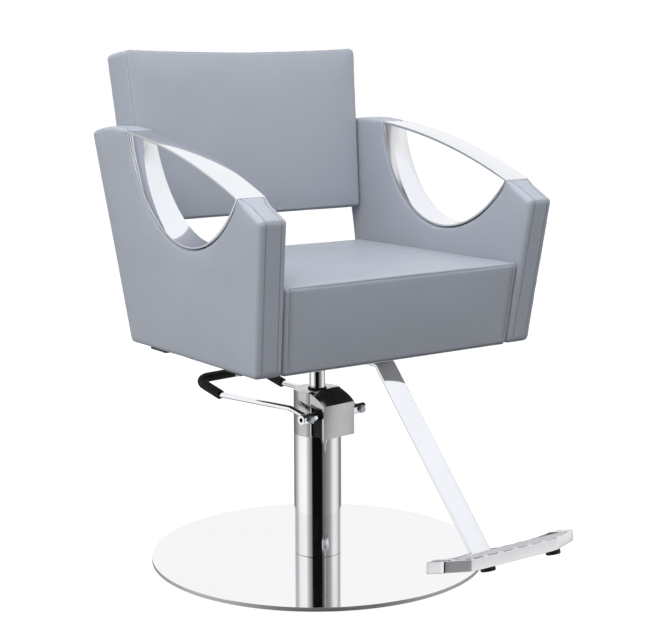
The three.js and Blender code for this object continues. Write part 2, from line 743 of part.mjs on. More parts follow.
const armBoltPlaces = BAR_YS.map((y) => [armInner(y, UNDERSIDE_Z) + ARM_BOLT_INSET, y]);

function makeArm(side, sign) {
  const outline = [
    [ARM_FRONT_FOOT_Y, UNDERSIDE_Z],
    [ARM_REAR_FOOT_Y, UNDERSIDE_Z],
    ...arc(BAND_REAR, ARM_REAR_TOP, ARM_REAR_RISE, 8).reverse(),
    ...arc(BAND_FRONT, BAND_REAR, BAND_TOP_RISE, 12).reverse(),
    ARM_FRONT_TOP,
  ];
  const wall = (ARM_WIDTH - CORE_THICKNESS) / 2;
  const coreRoom = inset(CORE_OUTLINE, -GAP).map(([y, z], i) => [y, i < 2 ? z - OVERSHOOT : z]);
  const pocket = splayed(across(coreRoom, wall - GAP, wall + CORE_THICKNESS + GAP));
  const studHoles = BACK_STUDS.map(([y, z]) => studHole(y, z));
  const boltHoles = armBoltPlaces.map(([x, y]) =>
    holeAt(x, y, BOLT_RADIUS, UNDERSIDE_Z - OVERSHOOT, BAR_FOOT_Z + ARM_BOLT_LENGTH + 2),
  );
  const opening = splayed(across(scoop(BAND_LINING + GAP), -OVERSHOOT, ARM_WIDTH + OVERSHOOT));
  const cover = cut(splayed(across(outline, 0, ARM_WIDTH)), opening, pocket, ...studHoles);
  const core = splayed(across(CORE_OUTLINE, wall, wall + CORE_THICKNESS));
  const bandForm = common(
    across(scoop(BAND_LINING), 0, ARM_WIDTH),
    across(underBand(0), -OVERSHOOT, ARM_WIDTH + OVERSHOOT),
  );
  const bandHole = common(
    across(scoop(0), -OVERSHOOT, ARM_WIDTH + OVERSHOOT),
    across(underBand(BAND_TOP_THICKNESS), -2 * OVERSHOOT, ARM_WIDTH + 2 * OVERSHOOT),
  );
  const arm = group(
    piece(`arm_cover_${side}`, cover, leatherette),
    piece(`arm_core_${side}`, cut(core, ...studHoles, ...boltHoles), plywood),
    piece(`arm_band_${side}`, splayed(cut(bandForm, bandHole)), chrome),
    ...armBoltPlaces.map(([x, y], i) => {
      const name = `arm_bolt_${side}_${i ? "rear" : "front"}`;
      const mesh = piece(name, bolt(BOLT_RADIUS, ARM_BOLT_LENGTH), darkSteel);
      mesh.position.set(x, y, BAR_FOOT_Z - GAP);
      return mesh;
    }),
    ...BACK_STUDS.map(([y, z], i) => {
      const stud = disc(STUD_RADIUS, 0, STUD_LENGTH, BOLT).rotateY(Math.PI / 2);
      const mesh = piece(`back_stud_${side}_${i ? "upper" : "lower"}`, stud, darkSteel);
      mesh.position.set(armInner(y, z) - STUD_LENGTH / 2, y, z);
      return mesh;
    }),
  );
  arm.scale.x = sign;
  return arm;
}

// ---- Seat and steelwork -----------------------------------------------------------------------
// A [y, z] outline spread sideways to a half width that changes with y and z.
function spread(points, halfWidth) {
  const form = across(points, -1, 1);
  const position = form.getAttribute("position");
  for (let i = 0; i < position.count; i++) {
    const width = halfWidth(position.getY(i), position.getZ(i));
    position.setX(i, Math.sign(position.getX(i)) * width);
  }
  return form;
}

const plateBoltPlaces = BAR_YS.flatMap((y) => [[-PLATE_BOLT_X, y], [PLATE_BOLT_X, y]]);
const strutBoltPlaces = STRUT_BOLT_YS.map((y) => [0, y]);

function makeSteelwork() {
  const holeFoot = PLATE_FOOT_Z - OVERSHOOT;
  const plateHoles = plateBoltPlaces.map(([x, y]) => holeAt(x, y, BOLT_RADIUS, holeFoot, UNDERSIDE_Z));
  const strutHoles = strutBoltPlaces.map(([x, y]) => holeAt(x, y, BOLT_RADIUS, holeFoot, UNDERSIDE_Z));
  const armHoles = armBoltPlaces.flatMap(([x, y]) => [
    holeAt(x, y, BOLT_RADIUS, BAR_FOOT_Z - OVERSHOOT, UNDERSIDE_Z),
    holeAt(-x, y, BOLT_RADIUS, BAR_FOOT_Z - OVERSHOOT, UNDERSIDE_Z),
  ]);
  const plate = cut(
    block(
      [-PLATE_HALF_WIDTH, PLATE_FRONT_Y, PLATE_FOOT_Z],
      [PLATE_HALF_WIDTH, PLATE_REAR_Y, PLATE_TOP_Z],
    ),
    ...plateHoles,
    ...strutHoles,
  );
  const bars = BAR_YS.map((y, i) => {
    const low = [-BAR_HALF_LENGTH, y - BAR_DEPTH / 2, BAR_FOOT_Z];
    const high = [BAR_HALF_LENGTH, y + BAR_DEPTH / 2, BAR_TOP_Z];
    const bar = cut(block(low, high), ...plateHoles, ...strutHoles, ...armHoles);
    return piece(`seat_cross_bar_${i ? "rear" : "front"}`, bar, darkSteel);
  });
  const hub = turned(
    [
      [RAM_RADIUS + GAP, HUB_FOOT_Z],
      [HUB_RADIUS - 2, HUB_FOOT_Z],
      [HUB_RADIUS, HUB_FOOT_Z + 2],
      [HUB_RADIUS, TONGUE_TOP_Z],
      [RAM_RADIUS + GAP, TONGUE_TOP_Z],
    ],
    COARSE,
  );
  const plateBolts = plateBoltPlaces.map(([x, y], i) => {
    const mesh = piece(`plate_bolt_${i + 1}`, bolt(BOLT_RADIUS, PLATE_BOLT_LENGTH), darkSteel);
    mesh.position.set(x, y, TONGUE_TOP_Z);
    return mesh;
  });
  return group(
    piece("seat_mounting_plate", plate, darkSteel),
    piece("seat_hub", hub, darkSteel),
    ...bars,
    ...plateBolts,
  );
}

function makeSeat() {
  const boltHoles = plateBoltPlaces.map(([x, y]) =>
    holeAt(x, y, BOLT_RADIUS, UNDERSIDE_Z - OVERSHOOT, TONGUE_TOP_Z + PLATE_BOLT_LENGTH + 1),
  );
  const boardTop = CUSHION_Z + BOARD_THICKNESS;
  const boardFront = SEAT_FRONT_FOOT_Y + BOARD_INSET;
  const boardRear = SEAT_REAR_Y - BOARD_INSET;
  const section = (front, rear, low, high) => [[front, low], [rear, low], [rear, high], [front, high]];
  const boardHalf = (y, z) => armInner(y, z) - SEAT_CLEARANCE - BOARD_INSET;
  const roomHalf = (y, z) => boardHalf(y, z) + GAP;
  const cushionOutline = [
    [SEAT_FRONT_FOOT_Y, CUSHION_Z],
    [SEAT_REAR_Y, CUSHION_Z],
    [SEAT_REAR_Y, SEAT_TOP_Z],
    [SEAT_FRONT_TOP_Y, SEAT_TOP_Z],
  ];
  const room = section(boardFront - GAP, boardRear + GAP, CUSHION_Z - OVERSHOOT, boardTop + GAP);
  const cushion = cut(
    spread(cushionOutline, (y, z) => armInner(y, z) - SEAT_CLEARANCE),
    spread(room, roomHalf),
  );
  const board = spread(section(boardFront, boardRear, CUSHION_Z, boardTop), boardHalf);
  const cloth = spread(
    section(SEAT_FRONT_FOOT_Y + 3, SEAT_REAR_Y - 3, UNDERSIDE_Z, UNDERSIDE_Z + CLOTH_THICKNESS),
    (y, z) => armInner(y, z) - SEAT_CLEARANCE - 3,
  );
  return group(
    piece("seat_cushion", cushion, leatherette),
    piece("seat_board", cut(board, ...boltHoles), plywood),
    piece("seat_underside_cloth", cut(cloth, ...boltHoles), liningCloth),
  );
}

// ---- Backrest ---------------------------------------------------------------------------------
// A [y, z] point at a height up the backrest's front face and a depth behind it.
function behindFace(height, depth) {
  return [
    BACK_FOOT[0] + height * Math.sin(BACK_LEAN) + depth * Math.cos(BACK_LEAN),
    BACK_FOOT[1] + height * Math.cos(BACK_LEAN) - depth * Math.sin(BACK_LEAN),
  ];
}

function makeBack() {
  const height = Math.hypot(BACK_TOP[0] - BACK_FOOT[0], BACK_TOP[1] - BACK_FOOT[1]);
  const widthSlope = (BACK_HALF_TOP - BACK_HALF_FOOT) / (BACK_TOP[1] - BACK_FOOT[1]);
  const halfWidth = (inset) => (y, z) => BACK_HALF_FOOT + widthSlope * (z - BACK_FOOT[1]) - inset;
  const slab = (low, high, near, far) => [
    behindFace(low, near),
    behindFace(low, far),
    behindFace(high, far),
    behindFace(high, near),
  ];
  const near = BACK_BOARD_DEPTH;
  const far = BACK_BOARD_DEPTH + BACK_BOARD_THICKNESS;
  const boardTop = height - BOARD_INSET;
  const studHoles = BACK_STUDS.flatMap(([y, z]) => [
    studHole(y, z),
    studHole(y, z).translate(-2 * armInner(y, z), 0, 0),
  ]);
  const cushion = cut(
    spread(slab(0, height, 0, BACK_THICKNESS), halfWidth(0)),
    spread(slab(-OVERSHOOT, boardTop + GAP, near - GAP, far + GAP), halfWidth(BOARD_INSET - GAP)),
    ...studHoles,
  );
  const board = cut(spread(slab(0, boardTop, near, far), halfWidth(BOARD_INSET)), ...studHoles);
  return group(piece("back_cushion", cushion, leatherette), piece("back_board", board, plywood));
}

// ---- Footrest ---------------------------------------------------------------------------------
// The strut's side view; growth makes it larger all round, for cutting its socket.
function strutOutline(growth) {
  const slope = Math.atan2(STRUT_SLOPE, 1); // from the vertical
  const bend = Math.PI / 2 - slope;
  const outer = STRUT_BEND_RADIUS + growth;
  const inner = STRUT_BEND_RADIUS - STRUT_THICKNESS - growth;
  const reach = STRUT_BEND_RADIUS * Math.tan(bend / 2);
  const centre = [STRUT_BEND_Y + reach, TONGUE_TOP_Z - STRUT_BEND_RADIUS];
  const round = (radius) =>
    Array.from({ length: 7 }, (_, i) => {
      const angle = Math.PI / 2 + (bend * i) / 6;
      return [centre[0] + radius * Math.cos(angle), centre[1] + radius * Math.sin(angle)];
    });
  const down = [-Math.sin(slope), -Math.cos(slope)];
  const outward = [-Math.cos(slope), Math.sin(slope)];
  const foot = (offset) => [
    STRUT_FOOT[0] + outward[0] * offset + down[0] * growth,
    STRUT_FOOT[1] + outward[1] * offset + down[1] * growth,
  ];
  return [
    [STRUT_REAR_Y, TONGUE_TOP_Z + growth],
    ...round(outer),
    foot(growth),
    foot(-STRUT_THICKNESS - growth),
    ...round(inner).reverse(),
    [STRUT_REAR_Y, TONGUE_TOP_Z - STRUT_THICKNESS - growth],
  ];
}

const treadTop = (y) => TREAD_FRONT_Z - (y - TREAD_FRONT_Y) * Math.tan(TREAD_TILT);

// A slab that follows the tread's slope between two heights measured from its top.
function slopedSlab(front, rear, lift, drop) {
  return [
    [front, treadTop(front) - drop],
    [rear, treadTop(rear) - drop],
    [rear, treadTop(rear) + lift],
    [front, treadTop(front) + lift],
  ];
}

function makeTread() {
  const plan = raised(TREAD_OUTLINE, 0, 300);
  const slab = slopedSlab(TREAD_FRONT_Y - 5, TREAD_FRONT_Y + 95, 0, TREAD_THICKNESS);
  const plate = common(plan, across(slab, -TREAD_ROOM, TREAD_ROOM));
  const ribs = Array.from({ length: TREAD_RIB_COUNT }, (_, i) => {
    const x = TREAD_RIB_PITCH * (i - (TREAD_RIB_COUNT - 1) / 2);
    const rear = Math.abs(x) < TREAD_RIB_PITCH ? TREAD_RIB_REAR_Y - 4 : TREAD_RIB_REAR_Y;
    const slab = slopedSlab(TREAD_FRONT_Y - 5, rear, TREAD_RIB_HEIGHT, TREAD_THICKNESS / 2);
    return common(plan, across(slab, x - TREAD_RIB_WIDTH / 2, x + TREAD_RIB_WIDTH / 2));
  });
  const half = STRUT_WIDTH / 2 + GAP;
  return cut(join(plate, ...ribs), across(strutOutline(GAP), -half, half));
}

function makeFootrest() {
  const boltHoles = strutBoltPlaces.map(([x, y]) =>
    holeAt(x, y, BOLT_RADIUS, TONGUE_TOP_Z - STRUT_THICKNESS - OVERSHOOT, TONGUE_TOP_Z + OVERSHOOT),
  );
  const strut = cut(across(strutOutline(0), -STRUT_WIDTH / 2, STRUT_WIDTH / 2), ...boltHoles);
  const strutBolts = strutBoltPlaces.map(([x, y], i) => {
    const name = `strut_bolt_${i ? "rear" : "front"}`;
    const length = BAR_TOP_Z - TONGUE_TOP_Z + STRUT_THICKNESS - 1;
    const mesh = piece(name, bolt(BOLT_RADIUS, length), darkSteel);
    mesh.position.set(x, y, TONGUE_TOP_Z - STRUT_THICKNESS - GAP);
    return mesh;
  });
  const bumpers = BUMPERS.map(([side, x]) => {
    const profile = [
      [0, -BUMPER_HEIGHT],
      [BUMPER_RADIUS - 1.5, -BUMPER_HEIGHT],
      [BUMPER_RADIUS, 1 - BUMPER_HEIGHT],
      [BUMPER_RADIUS, 0],
      [0, 0],
    ];
    const mesh = piece(`footrest_bumper_${side}`, turned(profile, COARSE), rubber);
    mesh.rotation.x = -TREAD_TILT;
    mesh.position.set(x, BUMPER_Y, treadTop(BUMPER_Y) - TREAD_THICKNESS - GAP);
    return mesh;
  });
  return group(
    piece("footrest_strut", strut, chrome),
    piece("footrest_tread", makeTread(), castAluminium),
    ...strutBolts,
    ...bumpers,
  );
}

const chair = group(
  makeBase(),
  makeColumn(),
  makePumpHead(),
  makeRam(),
  makeSteelwork(),
  makeSeat(),
  makeBack(),
  makeArm("left", 1),
  makeArm("right", -1),
  makeFootrest(),
);
chair.name = "styling_chair";

export default chair;
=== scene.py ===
import math

import bmesh
import bpy
import numpy as np
from mathutils import Matrix, Vector, geometry, kdtree, noise


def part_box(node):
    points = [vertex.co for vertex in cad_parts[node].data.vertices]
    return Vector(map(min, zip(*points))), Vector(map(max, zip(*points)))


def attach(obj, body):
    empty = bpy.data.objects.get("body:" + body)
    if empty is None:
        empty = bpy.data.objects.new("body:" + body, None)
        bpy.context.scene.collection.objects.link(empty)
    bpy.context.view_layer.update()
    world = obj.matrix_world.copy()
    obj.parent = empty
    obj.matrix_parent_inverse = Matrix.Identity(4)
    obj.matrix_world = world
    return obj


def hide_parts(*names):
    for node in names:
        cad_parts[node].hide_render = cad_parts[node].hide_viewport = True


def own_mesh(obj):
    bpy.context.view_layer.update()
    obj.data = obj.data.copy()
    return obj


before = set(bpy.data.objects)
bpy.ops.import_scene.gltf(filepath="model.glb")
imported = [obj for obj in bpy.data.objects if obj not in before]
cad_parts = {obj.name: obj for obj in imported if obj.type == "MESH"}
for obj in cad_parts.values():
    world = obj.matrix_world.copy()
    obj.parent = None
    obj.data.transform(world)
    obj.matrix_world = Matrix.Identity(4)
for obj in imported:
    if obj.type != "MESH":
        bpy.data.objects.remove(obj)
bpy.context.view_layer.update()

bl_info = {
    "name": "Styling chair",
    "version": (1, 0, 0),
    "blender": (4, 5, 0),
    "location": "View3D > Sidebar > Chair",
    "description": "Builds the upholstery, chrome and pump of a hydraulic styling chair",
    "category": "Object",
}

# Sizes are in millimetres unless a name says otherwise. +Z is up and the chair faces -Y.
MM = 0.001
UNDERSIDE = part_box("arm_cover_left")[0].z / MM
SEAT_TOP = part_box("seat_cushion")[1].z / MM
BASE_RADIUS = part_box("base_cover")[1].x / MM
BASE_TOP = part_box("base_cover")[1].z / MM
BASE_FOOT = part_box("base_cover")[0].z / MM
COWL_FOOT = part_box("pump_cowl")[0].z / MM
COWL_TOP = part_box("pump_cowl")[1].z / MM
SLEEVE_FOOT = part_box("column_sleeve")[0].z / MM
SLEEVE_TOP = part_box("column_sleeve")[1].z / MM
COLUMN_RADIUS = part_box("column_sleeve")[1].x / MM
HUB_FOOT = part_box("seat_hub")[0].z / MM
HUB_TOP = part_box("seat_hub")[1].z / MM
RAM_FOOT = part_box("ram")[0].z / MM
RAM_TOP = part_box("ram")[1].z / MM

# The pump head is made straight and turned on the column. Its cowl's roof is a curve from the nose's
# brow, pulled towards a point, to the roof's flat rear part; the bail's points are one half's corners.
PUMP_YAW = math.radians(7.1)
SHAFT_Y, SHAFT_Z, SHAFT_RADIUS, SHAFT_HALF_LENGTH = -40, 270, 9, 75.5
RAM_RADIUS = 14
NOSE_FRONT_Y, NOSE_HALF_WIDTH, COWL_WALL = -56.8, 37, 2
BROW_Z, ROOF_PULL, ROOF_REAR_Y = 289.5, (-42, 302), -17
BAIL = [(61, -42.5, 271.5), (61, 4.5, 281.8), (75.8, 181, 280.2), (76, 253, 298)]
BAIL_BEND = 30
CLAMP_X = 61

# Arms: slabs that lean outwards, drawn in side view as (y, z)
ARM_WIDTH = 52.4
ARM_FRONT_FOOT = (-238, UNDERSIDE)
ARM_REAR_FOOT = (171, UNDERSIDE)
ARM_REAR_TOP = (265, 764)
ARM_FRONT_TOP = (-277, 650)
BAND_FRONT = (-212, 684)
BAND_REAR = (132, 771)
BAND_RISE, ARM_REAR_RISE = 13.1, 7.9
SCOOP_CENTRE, SCOOP_RADII, SCOOP_TURN = (-68.8, 857.6), (202.6, 267.1), math.radians(7.85)
BAND_STRIP, BAND_LINING = 4.5, 3

# Backrest
BACK_FOOT, BACK_TOP = (183.6, 607.2), (223.3, 906.4)
BACK_THICKNESS, BACK_HALF_FOOT, BACK_HALF_TOP = 71, 235.2, 249.6

# Footrest
STRUT_WIDTH, STRUT_THICKNESS, STRUT_BEND_RADIUS = 40, 7, 12
STRUT_FOOT, STRUT_SLOPE, STRUT_REAR_Y = (-454.4, 115), 250 / 265, -40
TREAD_FRONT, TREAD_TILT, TREAD_THICKNESS = (-525, 148), math.radians(17), 19


def arm_inner(y, z):
    return 210.7 - 0.018 * y + 0.052 * z


# ---- Shapes -------------------------------------------------------------------------------------
def linked(name, data):
    """A new object in the scene, at the origin."""
    made = bpy.data.objects.new(name, data)
    bpy.context.scene.collection.objects.link(made)
    return made


def piece(name, vertices, faces, turn=0.0):
    """A mesh object at the origin from vertices in millimetres, turned about the column."""
    mesh = bpy.data.meshes.new(name)
    mesh.from_pydata([Vector(v) * MM for v in vertices], [], faces)
    mesh.transform(Matrix.Rotation(turn, 4, "Z"))
    return linked(name, mesh)


def outward(obj):
    """Merges doubles and turns every face to point outwards."""
    form = bmesh.new()
    form.from_mesh(obj.data)
    bmesh.ops.remove_doubles(form, verts=form.verts, dist=1e-6)
    bmesh.ops.recalc_face_normals(form, faces=form.faces)
    form.to_mesh(obj.data)
    form.free()
    return obj


def settled(obj):
    """Replaces the object's mesh by its evaluated one and removes the modifiers."""
    graph = bpy.context.evaluated_depsgraph_get()
    mesh = bpy.data.meshes.new_from_object(obj.evaluated_get(graph))
    obj.modifiers.clear()
    obj.data = mesh
    mesh.name = obj.name
    return obj


def bevelled(obj, width, segments=2, angle=40):
    modifier = obj.modifiers.new("edges", "BEVEL")
    modifier.width = width * MM
    modifier.segments = segments
    modifier.limit_method = "ANGLE"
    modifier.angle_limit = math.radians(angle)
    return settled(obj)


def boolean(obj, other, operation="DIFFERENCE"):
    modifier = obj.modifiers.new("form", "BOOLEAN")
    modifier.operation = operation
    modifier.object = other
    modifier.solver = "EXACT"
    settled(obj)
    bpy.data.objects.remove(other)
    return obj


def smooth(obj, angle=35):
    obj.data.shade_smooth()
    obj.data.set_sharp_from_angle(angle=math.radians(angle))
    return obj


def joined(name, objects):
    """One object from several, with their materials."""
    form = bmesh.new()
    materials = []
    for other in objects:
        start = len(form.faces)
        form.from_mesh(other.data)
        form.faces.ensure_lookup_table()
        slots = [m for m in other.data.materials]
        for material in slots:
            if material not in materials:
                materials.append(material)
        for face in form.faces[start:]:
            if slots:
                face.material_index = materials.index(slots[face.material_index])
    mesh = bpy.data.meshes.new(name)
    form.to_mesh(mesh)
    form.free()
    for material in materials:
        mesh.materials.append(material)
    for other in objects:
        bpy.data.objects.remove(other)
    return linked(name, mesh)


def lathe(name, profile, segments=96, turn=0.0):
    """A closed solid of revolution about Z from (radius, z) points; points on the axis are poles.
    Long faces get a narrow ring at each end, so that their shading stays true."""
    fuller = [profile[0]]
    for start, end in zip(profile, profile[1:]):
        length = math.dist(start, end)
        if length > 6:
            for part in (0.8 / length, 1 - 0.8 / length):
                fuller.append(tuple(a + (b - a) * part for a, b in zip(start, end)))
        fuller.append(end)
    vertices, rows = [], []
    for radius, z in fuller:
        if radius == 0:
            rows.append([len(vertices)] * segments)
            vertices.append((0, 0, z))
            continue
        rows.append(list(range(len(vertices), len(vertices) + segments)))
        for k in range(segments):
            angle = 2 * math.pi * k / segments
            vertices.append((radius * math.cos(angle), radius * math.sin(angle), z))
    faces = []
    closed = profile[0][0] > 0
    for i in range(len(rows) if closed else len(rows) - 1):
        low, high = rows[i], rows[(i + 1) % len(rows)]
        for k in range(segments):
            n = (k + 1) % segments
            corners = list(dict.fromkeys([low[k], low[n], high[n], high[k]]))
            if len(corners) > 2:
                faces.append(corners)
    return outward(piece(name, vertices, faces, turn))


def placed(obj, matrix):
    obj.data.transform(matrix)
    return obj


def across(name, outline, x0, x1, turn=0.0):
    """A (y, z) outline carried from one x to another."""
    n = len(outline)
    vertices = [(x, y, z) for x in (x0, x1) for y, z in outline]
    faces = [list(range(n)), list(range(n, 2 * n))]
    faces += [[i, (i + 1) % n, n + (i + 1) % n, n + i] for i in range(n)]
    return outward(piece(name, vertices, faces, turn))


def tube(name, path, radius, sides, turn=0.0):
    """A round bar along a path of points."""
    points = [Vector(p) for p in path]
    tangents = [
        (points[min(i + 1, len(points) - 1)] - points[max(i - 1, 0)]).normalized()
        for i in range(len(points))
    ]
    side = tangents[0].orthogonal().normalized()
    vertices, faces = [], []
    for i, (point, tangent) in enumerate(zip(points, tangents)):
        side = (side - tangent * side.dot(tangent)).normalized()
        other = tangent.cross(side)
        for k in range(sides):
            angle = 2 * math.pi * k / sides
            vertices.append(point + (side * math.cos(angle) + other * math.sin(angle)) * radius)
        if i:
            a, b = (i - 1) * sides, i * sides
            faces += [[a + k, a + (k + 1) % sides, b + (k + 1) % sides, b + k] for k in range(sides)]
    faces += [list(range(sides)), list(range(len(vertices) - sides, len(vertices)))]
    return outward(piece(name, vertices, faces, turn))


def bent(points, radii, steps=10):
    """Points along straight runs joined by round corners."""
    points = [Vector(p) for p in points]
    path = [points[0]]
    for i in range(1, len(points) - 1):
        corner = points[i]
        back = (points[i - 1] - corner).normalized()
        on = (points[i + 1] - corner).normalized()
        half = back.angle(on) / 2
        reach = radii[i - 1] / math.tan(half)
        centre = corner + (back + on).normalized() * radii[i - 1] / math.sin(half)
        start, end = corner + back * reach - centre, corner + on * reach - centre
        for k in range(steps + 1):
            path.append(centre + start.slerp(end, k / steps).normalized() * radii[i - 1])
    return path + [points[-1]]


def arc(start, end, rise, steps):
    """Points of the arc that rises to the left of the way from start to end."""
    (u0, v0), (u1, v1) = start, end
    chord = math.hypot(u1 - u0, v1 - v0)
    radius = chord * chord / (8 * rise) + rise / 2
    half = math.asin(chord / 2 / radius)
    du, dv = (u1 - u0) / chord, (v1 - v0) / chord
    points = []
    for i in range(steps + 1):
        angle = half * (2 * i / steps - 1)
        s = chord / 2 + radius * math.sin(angle)
        h = radius * math.cos(angle) - radius + rise
        points.append((u0 + du * s - dv * h, v0 + dv * s + du * h))
    return points


def scoop(growth, steps=480):
    c, s = math.cos(SCOOP_TURN), math.sin(SCOOP_TURN)
    points = []
    for k in range(steps):
        angle = 2 * math.pi * k / steps
        u = (SCOOP_RADII[0] + growth) * math.cos(angle)
        v = (SCOOP_RADII[1] + growth) * math.sin(angle)
        points.append((SCOOP_CENTRE[0] + u * c - v * s, SCOOP_CENTRE[1] + u * s + v * c))
    return points


def crossing(a, b, c, d):
    """Where segments a-b and c-d cross, or None."""
    a, b, c, d = (np.array(p, float) for p in (a, b, c, d))
    r, s = b - a, d - c
    det = r[0] * s[1] - r[1] * s[0]
    if abs(det) < 1e-12:
        return None
    t = ((c - a)[0] * s[1] - (c - a)[1] * s[0]) / det
    w = ((c - a)[0] * r[1] - (c - a)[1] * r[0]) / det
    return tuple(a + r * t) if 0 <= t <= 1 and 0 <= w <= 1 else None


def scoop_below(growth, top):
    """The scoop's run under an open line of points, from its rear crossing to its front one."""
    ring = scoop(growth)
    hits = []
    for i, (a, b) in enumerate(zip(ring, ring[1:] + ring[:1])):
        for j, (c, d) in enumerate(zip(top, top[1:])):
            point = crossing(a, b, c, d)
            if point:
                hits.append((i, j, point))
    front, rear = sorted(hits, key=lambda hit: hit[2][0])
    run = []
    i = rear[0]
    while i != front[0]:
        run.append(ring[i])
        i = (i - 1) % len(ring)
    return rear, front, run


# ---- Upholstery ---------------------------------------------------------------------------------
def resampled(corners, spacing):
    """A closed outline with its corners rounded. A corner is (u, v, radius, seam), and a plain
    (u, v) point is kept as it is. Returns the points and how much of a seam each one is."""
    kept = []
    for i, corner in enumerate(corners):
        p = np.array(corner[:2], float)
        radius, seam = (corner[2], corner[3]) if len(corner) == 4 else (0, 0)
        if not radius:
            kept.append((p, seam))
            continue
        back = np.array(corners[i - 1][:2], float) - p
        on = np.array(corners[(i + 1) % len(corners)][:2], float) - p
        back /= np.linalg.norm(back)
        on /= np.linalg.norm(on)
        half = math.acos(np.clip(back @ on, -1, 1)) / 2
        centre = p + (back + on) / np.linalg.norm(back + on) * radius / math.sin(half)
        start = p + back * radius / math.tan(half) - centre
        end = p + on * radius / math.tan(half) - centre
        first = math.atan2(start[1], start[0])
        sweep = (math.atan2(end[1], end[0]) - first + math.pi) % (2 * math.pi) - math.pi
        for k, amount in enumerate((0, 0, 0.35, 1, 0.35, 0, 0)):
            angle = first + sweep * (k / 6 if amount == 0 else 0.5 + (k - 3) * 0.11)
            on_arc = centre + radius * np.array([math.cos(angle), math.sin(angle)])
            kept.append((on_arc, amount * seam))
    points, seams = [], []
    for (p, seam), (q, _) in zip(kept, kept[1:] + kept[:1]):
        n = max(1, round(np.linalg.norm(q - p) / spacing))
        for k in range(n):
            points.append(p + (q - p) * k / n)
            seams.append(seam if k == 0 else 0)
    return np.array(points), np.array(seams)


def inward(points):
    """The mitred inward normal at each point of a counterclockwise outline."""
    on = np.roll(points, -1, 0) - points
    on /= np.linalg.norm(on, axis=1)[:, None]
    normal = np.stack([-on[:, 1], on[:, 0]], 1)
    before = np.roll(normal, 1, 0)
    mitre = (normal + before) / (1 + (normal * before).sum(1))[:, None]
    return mitre


def distance_to(outline, queries):
    """Distance from each query to the outline, and whether it is inside."""
    a, b = outline, np.roll(outline, -1, 0)
    near = np.full(len(queries), 1e9)
    inside = np.zeros(len(queries), bool)
    for p, q in zip(a, b):
        d = q - p
        t = np.clip(((queries - p) @ d) / (d @ d), 0, 1)
        near = np.minimum(near, np.linalg.norm(queries - p - t[:, None] * d, axis=1))
        crosses = (p[1] > queries[:, 1]) != (q[1] > queries[:, 1])
        with np.errstate(divide="ignore", invalid="ignore"):
            at = p[0] + (queries[:, 1] - p[1]) / (q[1] - p[1]) * d[0]
        inside ^= crosses & (queries[:, 0] < at)
    return near, inside


EDGE_ANGLES = [0, 18, 34, 41, 45, 49, 56, 72, 90]
EDGE_SEAM = [0, 0, 0, 0.4, 1, 0.4, 0, 0, 0]


